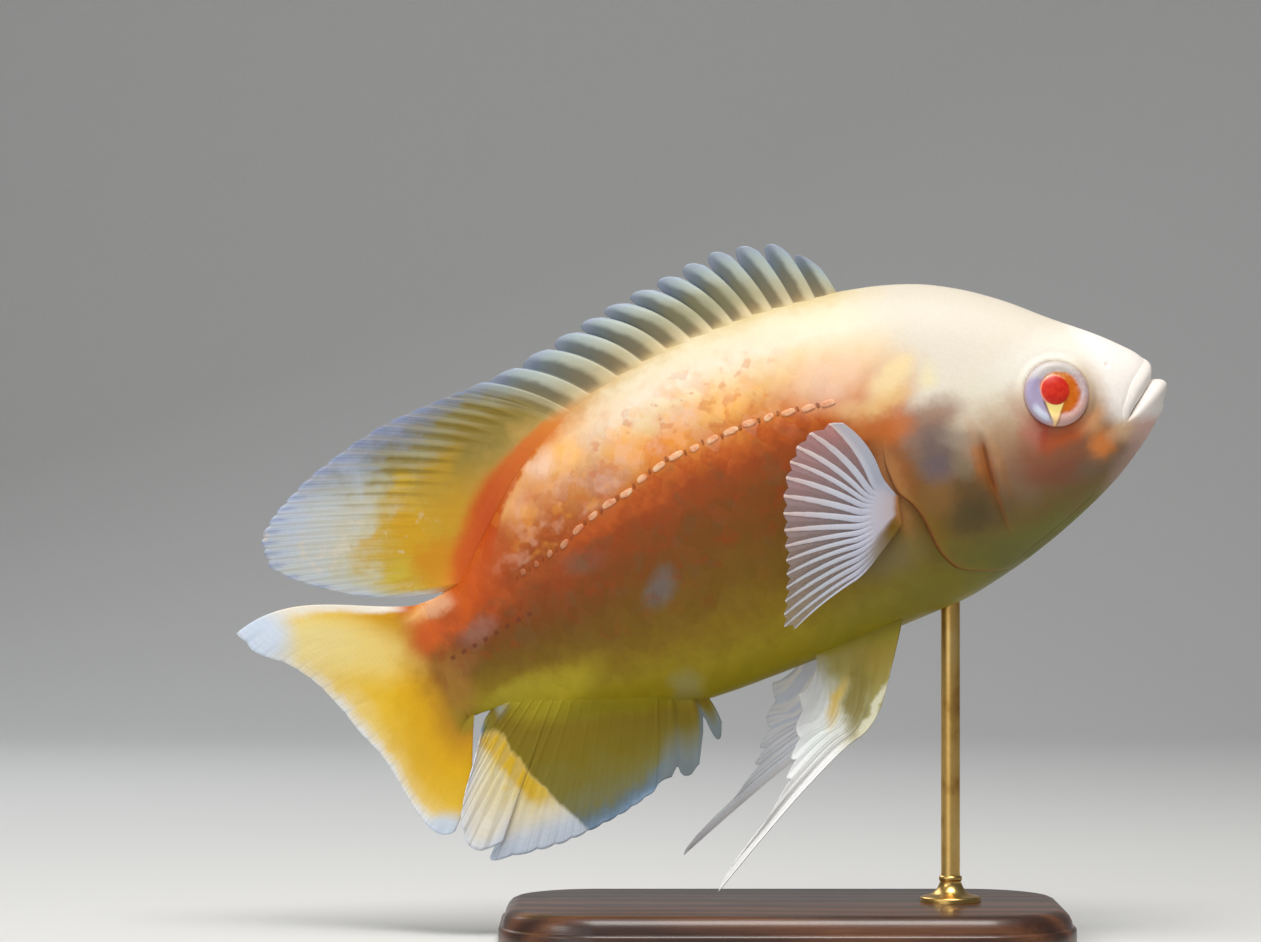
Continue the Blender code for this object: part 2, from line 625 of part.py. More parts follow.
def make_pectoral_fin(side, material, parent):
    """A fan of rays on a short root behind the gill cover, flared away from the flank. Each column runs straight to
    its knuckle, and from there to its tip, bowed to its front side."""
    column = ray_columns(0, PECTORAL_RAYS, (0.5,))
    row = np.array([0.0, 0.14, KNUCKLE_ROW, 0.45, 0.6, 0.75, 0.88, 1.0])
    (top_s, top_h), (low_s, low_h) = PECTORAL_ROOT
    share = column / PECTORAL_RAYS
    root = np.stack([top_s + (low_s - top_s) * share, top_h + (low_h - top_h) * share], axis=-1)
    knuckle = np.stack([pectoral_knuckle_s(share), pectoral_knuckle_h(share)], axis=-1)
    tip = np.stack([pectoral_tip_s(share), pectoral_tip_h(share)], axis=-1)
    edge = 1 - 0.05 * (1 - on_ray(column))
    inner = np.clip(row / KNUCKLE_ROW, 0, 1)[:, None, None]
    outer = (np.clip((row - KNUCKLE_ROW) / (1 - KNUCKLE_ROW), 0, 1)[:, None] * edge[None, :])[..., None]
    reach = tip - knuckle
    ahead = np.stack([-reach[:, 1], reach[:, 0]], axis=-1) / np.linalg.norm(reach, axis=-1, keepdims=True)
    bow = 4 * outer * (1 - outer) * pectoral_bow(share)[:, None] * ahead
    flat = root + (knuckle - root) * inner + reach * outer + bow
    root_thick = 1.5
    surface = np.abs(flank(flat[..., 0], flat[..., 1], 1.0)[0][..., 2])
    at_root = surface[0] + GAP + root_thick * 0.6
    lift = PECTORAL_FLARE * row[:, None] ** 0.9 * (0.75 + 0.25 * np.sin(math.pi * share))[None, :]
    out = at_root * (1 - row[:, None]) + (surface + 1.0) * row[:, None] + lift
    mid = np.concatenate([flat, side * out[..., None]], axis=-1)
    thick = ray_thickness(column, row, 1.1, 0.55)
    thick[0] = root_thick
    return fin_solid(f"pectoral_fin_{side_name(side)}", mid, thick, material, parent)


PELVIC_ROOT = ((85.0, 7.0), (110.0, 4.6))
# The path of the fin's leading edge out to the tip of the streamer, as places (s, h) at shares of its length
pelvic_lead_s = smooth(
    (0, 84.6), (0.15, 92), (0.29, 100.2), (0.355, 105.2), (0.42, 110.2), (0.59, 124), (0.79, 140), (1, 156.1),
)
pelvic_lead_h = smooth(
    (0, -36.6), (0.15, -46.9), (0.29, -56.9), (0.355, -60), (0.42, -61.2), (0.59, -66.7), (0.79, -74.4), (1, -82.7),
)
# The rays' tips: the streamer is the first ray's two branches, and the others end in steps behind it
pelvic_tip_s = smooth(
    (0, 156.1), (0.5, 154.4), (1, 151), (2, 134.2), (3, 128.6), (4, 125.6), (5, 121.6), (6, 117.6),
)
pelvic_tip_h = smooth(
    (0, -82.7), (0.5, -80.9), (1, -78.2), (2, -67.2), (3, -61.4), (4, -57.1), (5, -50.4), (6, -42.7),
)
pelvic_reach = smooth((0, 1), (0.5, 0.98), (1, 0.94), (2, 0.72), (3, 0.65), (4, 0.57), (5, 0.44), (6, 0.3))
PELVIC_SPLAY = 9.0


def make_pelvic_fin(side, lift_deg, fanned, material, parent):
    """A pointed fin under the breast whose first ray runs out into a long streamer. It is turned up round its
    front by some degrees, and its hind rays are longer by a share."""
    column = np.array([0.0, 0.5, 1.0, 1.5, 2.0, 2.5, 3.0, 3.5, 4.0, 4.5, 5.0, 5.5, 6.0])
    row = np.array([0.0, 0.07, 0.16, 0.28, 0.4, 0.52, 0.64, 0.76, 0.88, 1.0])
    share = column / column[-1]
    (front_s, front_y), (back_s, back_y) = PELVIC_ROOT
    root_s = front_s + (back_s - front_s) * share
    root_y = front_y + (back_y - front_y) * share
    root = np.stack([root_s, belly_line(root_s)], axis=-1)
    start = np.array([float(pelvic_lead_s(0)), float(pelvic_lead_h(0))])
    along = row[:, None] * pelvic_reach(column)[None, :]
    lead = np.stack([pelvic_lead_s(along), pelvic_lead_h(along)], axis=-1)
    tip = np.stack([pelvic_tip_s(column), pelvic_tip_h(column)], axis=-1)
    drift = row[:, None, None]
    flat = lead + (root - start) * (1 - drift) + (tip - lead[-1]) * drift ** (0.6 + 0.6 * share)[None, :, None]
    turn = math.radians(lift_deg) * (row / (row + 0.15))[:, None]
    offset = (flat - start) * (1 + fanned * share * row[:, None])[..., None]
    flat = start + np.stack([offset[..., 0] * np.cos(turn) - offset[..., 1] * np.sin(turn),
                             offset[..., 0] * np.sin(turn) + offset[..., 1] * np.cos(turn)], axis=-1)
    sideways = root_y[None, :] + PELVIC_SPLAY * row[:, None] ** 0.8 * (1 - 0.35 * share)[None, :]
    mid = np.concatenate([flat, (side * sideways)[..., None]], axis=-1)
    is_ray = on_ray(column) + (column == 0.5)
    thick = (0.7 + 0.6 * is_ray)[None, :] * (1 - 0.4 * row[:, None] ** 1.5)
    thick[0] = 1.5
    return fin_solid(f"pelvic_fin_{side_name(side)}", mid, thick, material, parent, seat=breast)


def breast(places):
    """Moves places up or down to a little under the breast's skin."""
    s, _, y = np.moveaxis(places, -1, 0)
    share = np.clip(np.abs(y) / half_width(s), 0, 1) ** (1 / belly_pinch(s))
    centre = widest_line(s)
    h = centre - (centre - belly_line(s)) * np.sqrt(1 - share**2)
    return np.stack([s, h - GAP - 0.15, y], axis=-1)


def world_of(s, h):
    """The place of (s, h) on the fish's middle plane, over the stand, in millimetres."""
    pitch = math.radians(PITCH_DEG)
    x = SNOUT_X - s * math.cos(pitch) - h * math.sin(pitch)
    z = SNOUT_Z - s * math.sin(pitch) + h * math.cos(pitch)
    return x, z


def make_rod(material):
    """A turned rod with a flange at its foot and a top cut along the slope of the throat, a gap below it."""
    x, z = world_of(ROD_S, float(belly_line(ROD_S)))
    y = SWEEP * (max(ROD_S - SWEEP_START, 0.0) / SWEEP_REACH) ** 2
    foot = BASE_THICK + GAP
    profile = [(FLANGE_RADIUS, foot), (FLANGE_RADIUS, foot + FLANGE_THICK)]
    for k in range(5):
        turn = math.pi / 2 * k / 4
        profile.append((ROD_RADIUS + FLANGE_FILLET * (1 - math.sin(turn)),
                        foot + FLANGE_THICK + FLANGE_FILLET * (1 - math.cos(turn))))
    slope = math.tan(math.radians(PITCH_DEG))
    count = 24
    points = []
    for radius, height in profile + [(ROD_RADIUS, None)]:
        for k in range(count):
            turn = 2 * math.pi * k / count
            out = radius * math.cos(turn)
            level = z - 1.5 * GAP + out * slope if height is None else height
            points.append(((x + out) * MM, (y + radius * math.sin(turn)) * MM, level * MM))
    rings = len(profile) + 1
    faces = tube_faces(rings, count)
    faces.append(tuple(range(count))[::-1])
    faces.append(tuple(range((rings - 1) * count, rings * count)))
    return node("stand_rod", points, faces, material)


def make_base(material):
    """A flat plate with round corners and a bevelled upper edge."""
    corner_steps = 7
    outline = []
    for quarter, (sx, sy) in enumerate(((1, 1), (-1, 1), (-1, -1), (1, -1))):
        cx, cy = sx * (BASE_LENGTH / 2 - BASE_CORNER), sy * (BASE_WIDTH / 2 - BASE_CORNER)
        for k in range(corner_steps):
            turn = math.pi / 2 * (quarter + k / (corner_steps - 1))
            outline.append((cx + BASE_CORNER * math.cos(turn), cy + BASE_CORNER * math.sin(turn)))
    outline = np.array(outline)
    levels = ((0.0, 0.0), (0.0, BASE_THICK - BASE_BEVEL), (BASE_BEVEL * 0.3, BASE_THICK - BASE_BEVEL * 0.3),
              (BASE_BEVEL, BASE_THICK))
    count = len(outline)
    points = []
    for inset, z in levels:
        shrink = 1 - inset / np.linalg.norm(outline, axis=1, keepdims=True)
        points += [(px * MM, py * MM, z * MM) for px, py in outline * shrink]
    faces = tube_faces(len(levels), count)
    faces.append(tuple(range(count))[::-1])
    faces.append(tuple(range((len(levels) - 1) * count, len(levels) * count)))
    return node("stand_base", points, faces, material)


def make_fish():
    """Every piece of the fish, hung from one empty that sets its slope."""
    pose = bpy.data.objects.new("fish_pose", None)
    bpy.context.scene.collection.objects.link(pose)
    pose.location = (SNOUT_X * MM, 0, SNOUT_Z * MM)
    pose.rotation_euler = (0, -math.radians(PITCH_DEG), 0)
    bpy.context.view_layer.update()
    head_skin = paint("head_skin", (0.94, 0.87, 0.72), 0.42)
    body_skin = paint("body_skin", (0.86, 0.47, 0.18), 0.42)
    fin_skin = paint("fin_skin", (0.83, 0.72, 0.42), 0.5)
    clear_fin = paint("pale_fin", (0.82, 0.83, 0.86), 0.5)
    eye = paint("eye", (0.74, 0.16, 0.08), 0.12)
    make_head(head_skin, pose)
    make_torso(body_skin, pose)
    make_tail_stalk(body_skin, pose)
    eye_solids("eye", 0.0, eye, pose)
    make_dorsal_fin(fin_skin, pose)
    make_anal_fin(fin_skin, pose)
    make_caudal_fin(fin_skin, pose)
    for side, lift, fanned in ((-1.0, 0.0, 0.0), (1.0, 8.6, 0.14)):
        make_pectoral_fin(side, clear_fin, pose)
        make_pelvic_fin(side, lift, fanned, clear_fin, pose)


def main():
    for old in list(bpy.data.objects):
        bpy.data.objects.remove(old)
    make_fish()
    wood = paint("stand_wood", (0.12, 0.07, 0.045), 0.35)
    brass = paint("stand_brass", (0.78, 0.6, 0.3), 0.28, 1.0)
    make_base(wood)
    make_rod(brass)


main()
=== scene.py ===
# %% [markdown]
# # A lemon oscar on a museum stand
#
# An oscar is a deep-bodied cichlid of warm rivers. The fish here is the pale aquarium form: a cream back,
# orange flanks that turn to yellow at the belly, fins of gold and bluish white, and a red eye. A museum
# would cast it in resin, paint it and hold it on a rod over a wooden base, and that is how it is shown.
#
# The solids of the model are loaded first, as a fixed frame. They could be shaded as they are, but they are
# coarse, so each piece below is made again as a fine surface in the same place and stands in for its solid.

import math

import bpy
import numpy as np
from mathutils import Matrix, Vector


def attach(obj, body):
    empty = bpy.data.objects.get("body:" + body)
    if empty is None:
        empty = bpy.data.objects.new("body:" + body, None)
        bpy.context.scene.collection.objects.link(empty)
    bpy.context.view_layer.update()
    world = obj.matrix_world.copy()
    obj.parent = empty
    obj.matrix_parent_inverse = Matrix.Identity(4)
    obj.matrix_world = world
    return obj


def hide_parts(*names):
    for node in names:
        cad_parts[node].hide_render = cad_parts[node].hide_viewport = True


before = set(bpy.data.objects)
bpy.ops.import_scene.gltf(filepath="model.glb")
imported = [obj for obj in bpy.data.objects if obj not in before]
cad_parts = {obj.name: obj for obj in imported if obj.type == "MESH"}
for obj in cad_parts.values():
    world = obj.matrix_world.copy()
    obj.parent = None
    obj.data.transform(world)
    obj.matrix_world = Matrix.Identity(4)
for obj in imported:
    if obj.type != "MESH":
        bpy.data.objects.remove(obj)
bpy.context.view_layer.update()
print("nodes:", ", ".join(sorted(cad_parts)))

# %% [markdown]
# ## The fish's own frame
#
# Every size on the fish is easiest to give along its own body: s runs back from the snout, h runs up and y
# runs to the fish's left, all in millimetres. The whole fish is then tipped nose up. Modelling it level and
# turning the objects would also work, but a finished piece has to sit unturned at the origin, so the turn
# goes into the points.

# %% From the fish's frame to the room
MM = 0.001
SNOUT_X = 97.3
SNOUT_Z = 147.8
PITCH = math.radians(21.4)
SWEEP_START = 80.0
SWEEP_REACH = 120.0
SWEEP = 5.0


def room(places):
    """Places (s, h, y) in millimetres as points in metres. The rear is swept left with the square of the
    distance past SWEEP_START, then the fish is tipped by PITCH round its snout."""
    s, h, y = np.moveaxis(np.asarray(places, float), -1, 0)
    sideways = SWEEP * (np.clip(s - SWEEP_START, 0, None) / SWEEP_REACH) ** 2
    x = SNOUT_X - s * math.cos(PITCH) - h * math.sin(PITCH)
    z = SNOUT_Z - s * math.sin(PITCH) + h * math.cos(PITCH)
    return np.stack([x, y + sideways, z], axis=-1) * MM


print("snout tip in metres:", room([0, 0, 0]).round(4))

# %% [markdown]
# ## Curves through a few points
#
# The outlines of a fish are long smooth lines with a few places that matter. A spline through measured
# points can swing past them, so this curve limits its slope at each point: between two points it is a cubic
# that never leaves the range of its ends.


# %% A smooth curve that never overshoots
def hermite(at, value):
    """A function of one number through places and values. Each span is a Hermite cubic whose end slopes are
    the harmonic mean of the slopes on both sides, or nothing where those turn."""
    step = np.diff(at)
    slope = np.diff(value) / step
    product = slope[:-1] * slope[1:]
    total = np.where(product > 0, slope[:-1] + slope[1:], 1.0)
    tangent = np.concatenate([slope[:1], np.where(product > 0, 2 * product / total, 0.0), slope[-1:]])

    def curve(x):
        x = np.clip(x, at[0], at[-1])
        i = np.clip(np.searchsorted(at, x) - 1, 0, len(step) - 1)
        t = (x - at[i]) / step[i]
        ends = value[i] * (1 + 2 * t) * (1 - t) ** 2 + value[i + 1] * t * t * (3 - 2 * t)
        return ends + step[i] * t * (1 - t) * (tangent[i] * (1 - t) - tangent[i + 1] * t)

    return curve


def smooth(*points):
    """The curve through (place, value) points. Points with two values make a function that gives both."""
    at, *values = np.array(points, float).T
    curves = [hermite(at, value) for value in values]
    if len(curves) == 1:
        return curves[0]
    return lambda x: [curve(x) for curve in curves]


def ease(x, low, high):
    """A step from nothing at low to one at high: 3t² - 2t³ of the share t between them, also with high below
    low."""
    t = np.clip((x - low) / (high - low), 0, 1)
    return t * t * (3 - 2 * t)


def bell(x, middle, width):
    """A hump of height one: e to the minus square of the distance from its middle, in widths."""
    return np.exp(-(((x - middle) / width) ** 2))


# %% [markdown]
# ## Meshes from arrays
#
# Each surface below is a grid: rows one way, columns the other. A whole grid of points is worked out at
# once, and the quads between them follow from counting. One helper puts the arrays into a mesh, turns the
# faces outwards by the sign of the volume that they enclose, and hands the object to the frame.


# %% Helpers that make a piece
def grid_quads(rows, columns, closed=False, first=0):
    """Corner numbers of the quads of a grid that is counted row by row, with a last column of quads back to
    the first one where the grid is closed round."""
    number = np.arange(rows * columns).reshape(rows, columns) + first
    if closed:
        number = np.concatenate([number, number[:, :1]], axis=1)
    quads = np.stack([number[:-1, :-1], number[:-1, 1:], number[1:, 1:], number[1:, :-1]], axis=-1)
    return quads.reshape(-1, 4)


def fan(ring, middle, front):
    """Triangles from a closed ring of corner numbers to a middle one, wound for the front or the back
    end."""
    after = np.roll(ring, -1)
    middle = np.full_like(ring, middle)
    return np.stack([after, ring, middle] if front else [ring, after, middle], axis=-1)


def grid_rim(rows, columns):
    """Corner numbers round the edge of a grid."""
    grid = np.arange(rows * columns).reshape(rows, columns)
    return np.concatenate([grid[0, :-1], grid[:-1, -1], grid[-1, :0:-1], grid[:0:-1, 0]])


def tube_faces(count, around):
    """Faces of a stack of closed rings, and of the two middle points that come after them and close its
    ends."""
    ring = np.arange(around)
    total = count * around
    ends = [fan(ring, total, True), fan(ring + total - around, total + 1, False)]
    return [grid_quads(count, around, closed=True), *ends]


def shells(top, root):
    """Points in the room and faces of many closed shells: a grid each, whose rim is drawn down to one
    root."""
    number, rows, columns = top.shape[:3]
    points = np.concatenate([top.reshape(number, -1, 3), root[:, None]], axis=1)
    per = rows * columns + 1
    first = (np.arange(number) * per)[:, None, None]
    quads = (grid_quads(rows, columns)[None] + first).reshape(-1, 4)
    under = (fan(grid_rim(rows, columns), per - 1, True)[None] + first).reshape(-1, 3)
    return room(points), [quads, under]


def make_piece(name, points, face_groups, material, replaced=(), fields=None, uv_maps=None,
               crease=None):
    """One object from points in metres and arrays of quads or triangles. Fields are numbers per point, which
    the material can read by name, and uv_maps are places per point."""
    points = np.asarray(points, float).reshape(-1, 3)
    triangles = [np.asarray(f)[:, (0, i, i + 1)] for f in face_groups for i in range(1, np.shape(f)[1] - 1)]
    volume = np.linalg.det(points[np.concatenate(triangles)]).sum() / 6
    if volume < 0:
        face_groups = [np.asarray(f)[:, ::-1] for f in face_groups]
    mesh = bpy.data.meshes.new(name)
    mesh.from_pydata(points.tolist(), [], [face for f in face_groups for face in np.asarray(f).tolist()])
    for key, values in (fields or {}).items():
        numbers = np.ravel(values).astype(np.float32)
        mesh.attributes.new(key, "FLOAT", "POINT").data.foreach_set("value", numbers)
    corner = np.empty(len(mesh.loops), int)
    mesh.loops.foreach_get("vertex_index", corner)
    for key, values in (uv_maps or {}).items():
        flat = np.asarray(values, float).reshape(-1, 2)[corner]
        mesh.uv_layers.new(name=key).data.foreach_set("uv", flat.ravel().astype(np.float32))
    mesh.shade_smooth()
    if crease is not None:
        mesh.set_sharp_from_angle(angle=math.radians(crease))
    mesh.materials.append(material)
    piece = bpy.data.objects.new(name, mesh)
    bpy.context.scene.collection.objects.link(piece)
    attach(piece, "root")
    if replaced:
        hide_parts(*replaced)
    print(f"{name}: {sum(len(t) for t in triangles)} triangles, {abs(volume) * 1e6:.2f} cm3")
    return piece


# %% [markdown]
# ## Writing materials as sums
#
# A node tree grows hard to read as soon as it has more than a few nodes. Here a socket is wrapped in a small
# class that overloads Python's operators, so that a line such as `1 - mask * 0.5` adds its Math nodes by
# itself. All other nodes come from one method, which takes the node's type, its settings and the values or
# links of its sockets.


# %% A socket that can be added and multiplied
class Number:
    """An output socket. An operator on it adds a Math node and gives that node's output."""

    def __init__(self, paint, socket):
        self.paint = paint
        self.socket = socket

    def __add__(self, other):
        return self.paint.math("ADD", self, other)

    def __sub__(self, other):
        return self.paint.math("SUBTRACT", self, other)

    def __mul__(self, other):
        return self.paint.math("MULTIPLY", self, other)

    def __truediv__(self, other):
        return self.paint.math("DIVIDE", self, other)

    def __rsub__(self, other):
        return self.paint.math("SUBTRACT", other, self)

    __radd__ = __add__
    __rmul__ = __mul__


# %% A material that is written as Python
class Paint:
    """A material with one Principled BSDF. Constants are set on the shader's own sockets, by name."""

    def __init__(self, name, **constants):
        self.material = bpy.data.materials.new(name)
        self.material.use_nodes = True
        self.tree = self.material.node_tree
        self.shader = self.tree.nodes["Principled BSDF"]
        for key, value in constants.items():
            self.shader_socket(key).default_value = value

    def shader_socket(self, name):
        """A socket of the Principled BSDF, by its name in small letters with underscores."""
        wanted = name.replace("_", " ")
        return next(socket for socket in self.shader.inputs if socket.name.lower() == wanted)

    def add(self, kind, settings, inputs, output=0):
        """A node of some type: its settings first, then the values or links of its sockets, by name or
        number."""
        node = self.tree.nodes.new(kind)
        for key, value in settings.items():
            if key == "stops":
                self.set_stops(node.color_ramp, value)
            elif key == "curve":
                self.set_curve(node, value)
            else:
                setattr(node, key, value)
        for key, value in inputs.items():
            self.plug(node.inputs[key], value)
        return Number(self, node.outputs[output])

    def plug(self, socket, value):
        """Links an output, or sets a plain value."""
        if isinstance(value, Number):
            self.tree.links.new(value.socket, socket)
        elif socket.type == "RGBA" and len(value) == 3:
            socket.default_value = (*value, 1.0)
        else:
            socket.default_value = value

    def set_stops(self, ramp, stops):
        """Gives a ramp its stops of (place, colour)."""
        while len(ramp.elements) < len(stops):
            ramp.elements.new(0.5)
        for element, (place, colour) in zip(ramp.elements, stops):
            element.position = place
            element.color = (*colour, 1.0)

    def set_curve(self, node, points):
        """Gives a Float Curve node its points."""
        line = node.mapping.curves[0]
        while len(line.points) < len(points):
            line.points.new(0.5, 0.5)
        for point, (x, y) in zip(line.points, points):
            point.location = (x, y)
        node.mapping.update()

    def math(self, operation, a, b=0.0):
        return self.add("ShaderNodeMath", {"operation": operation}, {0: a, 1: b})

    def step(self, value, low, high):
        """The shader's own smooth step, from nothing at low to one at high."""
        inputs = {"Value": value, "From Min": low, "From Max": high}
        return self.add("ShaderNodeMapRange", {"interpolation_type": "SMOOTHSTEP"}, inputs)

    def near(self, value, middle, half):
        """One where a value is close to the middle, nothing past half on either side."""
        return self.step(self.math("ABSOLUTE", value - middle), half, half * 0.2)

    def ramp(self, value, *stops):
        """A colour that changes with a value, from stops of (value, red, green, blue)."""
        low, high = stops[0][0], stops[-1][0]
        share = (value - low) * (1 / (high - low))
        placed = [((place - low) / (high - low), rgb(*colour)) for place, *colour in stops]
        return self.add("ShaderNodeValToRGB", {"stops": placed}, {"Fac": share})

    def line(self, value, low, high, *points):
        """A number that changes with a value along a smooth line through (value, number) points."""
        places, numbers = np.array(points, float).T
        least, span = numbers.min(), max(np.ptp(numbers), 1e-6)
        curve = [((p - low) / (high - low), (n - least) / span) for p, n in zip(places, numbers)]
        share = (value - low) * (1 / (high - low))
        return self.add("ShaderNodeFloatCurve", {"curve": curve}, {"Value": share}) * span + least

    def blend(self, mask, first, second):
        """One colour turned into another where a mask is one."""
        return self.add("ShaderNodeMix", {"data_type": "RGBA"}, {0: mask, 6: first, 7: second}, 2)

    def lay(self, mask, under, *paint):
        """Red, green and blue of the screen laid over a colour where a mask is one."""
        return self.blend(mask, under, rgb(*paint))

    def shade(self, colour, factor):
        """A colour made lighter or darker by a number."""
        return self.add("ShaderNodeVectorMath", {"operation": "SCALE"}, {0: colour, "Scale": factor})

    def noise(self, place, scale, detail=2.0, rough=0.5):
        inputs = {"Vector": place, "Scale": scale, "Detail": detail, "Roughness": rough}
        return self.add("ShaderNodeTexNoise", {}, inputs)

    def field(self, name):
        """A number per point that the mesh carries."""
        return self.add("ShaderNodeAttribute", {"attribute_name": name}, {}, "Fac")

    def position(self):
        """The place in the room, in metres."""
        return self.add("ShaderNodeTexCoord", {}, {}, "Object")

    def vector(self, x, y, z):
        return self.add("ShaderNodeCombineXYZ", {}, {0: x, 1: y, 2: z})

    def parts(self, vector):
        """The three numbers of a vector."""
        node = self.add("ShaderNodeSeparateXYZ", {}, {0: vector}).socket.node
        return [Number(self, socket) for socket in node.outputs]

    def bump(self, height, strength, distance):
        return self.add("ShaderNodeBump", {}, {"Height": height, "Strength": strength, "Distance": distance})

    def wire(self, **sockets):
        """Links the shader's sockets and gives back the finished material."""
        for key, value in sockets.items():
            self.plug(self.shader_socket(key), value)
        return self.material


def rgb(red, green, blue):
    """A screen colour of 0 to 255 as the linear light that the shader works in."""
    share = np.array([red, green, blue]) / 255
    linear = np.where(share <= 0.04045, share / 12.92, ((share + 0.055) / 1.055) ** 2.4)
    return tuple(float(v) for v in linear)


# %% [markdown]
# ## Where the paint knows it is
#
# The markings are described in the fish's frame: an orange flank lies so far behind the snout and so high.
# Object coordinates are the room's metres here, because no piece is turned or moved, so the same turn that
# placed the points is undone in the shader.


# %% Fish coordinates in the shader
def fish_place(p):
    """The shader's s, h and y in millimetres, from Object coordinates."""
    x, y, z = p.parts(p.position())
    ahead = SNOUT_X - x * (1 / MM)
    below = SNOUT_Z - z * (1 / MM)
    s = ahead * math.cos(PITCH) + below * math.sin(PITCH)
    h = ahead * math.sin(PITCH) - below * math.cos(PITCH)
    return s, h, y * (1 / MM)


# %% [markdown]
# ## The body's outline
#
# A deep fish can be lofted from its outline: the line of the back, the line of the belly, the half width
# from above, and the height at which it is widest. Each cross-section is then an oval that is pinched
# towards the ridge of the back. Sculpting would also do, but the lines stay exact and easy to change.

# %% Outline curves of the body
back_line = smooth(
    (-1, 2.6), (0, 4.8), (2, 8), (5, 11.4), (10, 16.4), (20, 25), (30, 34), (40, 41.2), (50, 46.4),
    (62, 50.2), (78, 53.2), (95, 54.9), (112, 55), (128, 53.4), (142, 50.6), (154, 46.4), (166, 39.6),
    (178, 29.6), (187, 21.6), (193, 16.6), (199, 15.4), (206, 15.6),
)
belly_line = smooth(
    (-1, -6.2), (0, -7.5), (2, -9.4), (5, -11.9), (10, -15.6), (20, -21.6), (30, -26), (42, -30.3),
    (55, -33.8), (70, -36.2), (95, -36.6), (125, -36.6), (138, -36.2), (148, -33.6), (160, -29.6),
    (174, -25), (186, -20.4), (193, -18.2), (199, -17.8), (206, -18.6),
)
half_width = smooth(
    (-1, 3), (0, 4.6), (2, 7.2), (5, 9.6), (10, 12), (18, 14.3), (26, 15.9), (40, 18.2), (55, 20),
    (72, 20.8), (90, 20.5), (110, 18.9), (130, 16.3), (150, 12.9), (170, 9.2), (186, 6.3), (198, 4.3),
    (206, 2.6),
)
widest_line = smooth((-1, -2), (5, -2), (15, -2.6), (30, -1), (50, 1.5), (75, 3), (120, 4), (160, 2),
                     (206, -1.5))
back_pinch = smooth((0, 0.9), (20, 1.0), (60, 1.12), (120, 1.2), (206, 1.0))
belly_pinch = smooth((0, 0.8), (30, 0.85), (80, 0.8), (130, 0.95), (206, 1.0))
BODY_END = 204.0
SKIN_DEPTH = 0.25


def section(s, angle, side):
    """A place on the plain body at distance s and at an angle up from its widest line, in degrees: up goes
    with the sine of the angle, and out with its cosine raised to the pinch."""
    turn = np.radians(angle)
    up = np.sin(turn)
    centre = widest_line(s)
    reach = np.where(up >= 0, back_line(s) - centre, centre - belly_line(s))
    pinch = np.where(up >= 0, back_pinch(s), belly_pinch(s))
    out = half_width(s) * np.clip(np.cos(turn), 0, 1) ** pinch
    return np.stack(np.broadcast_arrays(s, centre + reach * up, side * out), axis=-1)


def outward(s, angle, side):
    """The way out of the body: the cross product of two short steps over its surface."""
    along = section(s + 0.2, angle, side) - section(s - 0.2, angle, side)
    above, below = np.clip(angle + 0.5, -90, 90), np.clip(angle - 0.5, -90, 90)
    round_it = section(s, above, side) - section(s, below, side)
    out = np.cross(along, round_it) * np.asarray(side)[..., None]
    return out / np.maximum(np.linalg.norm(out, axis=-1, keepdims=True), 1e-9)


def raised(s, angle, side, height):
    """A place some millimetres out from the plain body."""
    return section(s, angle, side) + outward(s, angle, side) * np.asarray(height)[..., None]


def angle_at(s, h):
    """The angle round the body of a height h at distance s."""
    centre = widest_line(s)
    reach = np.where(h >= centre, back_line(s) - centre, centre - belly_line(s))
    return np.degrees(np.arcsin(np.clip((h - centre) / reach, -1, 1)))


print("deepest:", round(float(np.max(back_line(np.arange(200)) - belly_line(np.arange(200)))), 1), "mm")

# %% [markdown]
# ## Relief of the head
#
# What makes it a fish's head is low relief: the gill cover's free edge, the groove in front of it, the rim
# round the eye, the nostrils and the folds under the throat. Each is a short formula of s and the angle that
# lifts or lowers the plain surface. A displacement modifier could do this from textures, but formulas can
# follow the edge of the gill cover exactly.

# %% Gill cover, groove, orbit and throat
MOUTH_CORNER_DEG = -22.0
gill_edge = smooth(
    (-90, 48), (-72, 55), (-60, 61.5), (-48, 68), (-36, 70.5), (-22, 71.3), (-15, 72.6), (-8, 75),
    (3, 75.3), (10, 73.5), (18, 70), (30, 67), (55, 65), (90, 64),
)
cheek_line = smooth((-90, 42), (-60, 49.5), (-40, 51.3), (-20, 51), (0, 49.6), (20, 48), (50, 46), (90, 44))
gill_lift = smooth((-90, 0), (-80, 0), (-66, 1), (-6, 1), (12, 0), (90, 0))
groove_depth = smooth((-90, 0), (-50, 0), (-40, 0.4), (-26, 0.6), (-18, 0.9), (-4, 0.9), (5, 0), (90, 0))
groove_width = smooth((-90, 0.5), (-50, 0.55), (-30, 0.75), (-10, 1.25), (4, 1.0), (90, 0.8))
GILL_RAISE = 0.6
GILL_STEP = 1.1
GROOVE = 1.3
EYE_S = 27.1
EYE_H = 5.9
EYE_RADIUS = 8.6
EYE_PIT = 3.4
NOSTRIL_S = 11.5
NOSTRIL_H = 8.0


def cover_relief(s, angle):
    """Height of the skin in front of the gill cover's edge: it rises towards the edge, and the cheek's
    groove is a narrow bell-shaped trough between two low banks."""
    from_cheek = s - cheek_line(angle)
    width = groove_width(angle)
    lumps = 1 + 0.5 * np.sin(angle * 0.55) * np.sin(angle * 0.23 + 1)
    rise = GILL_RAISE * gill_lift(angle) * np.exp(np.minimum(s - gill_edge(angle), 0) / 7)
    trough = bell(from_cheek, 0, width) - 0.3 * lumps * bell(np.abs(from_cheek), 1.4 + width, 1.1)
    plates = 0.18 * gill_lift(angle) * bell(s - cheek_line(angle) - 11, 0, 7)
    return rise + plates - GROOVE * groove_depth(angle) * trough


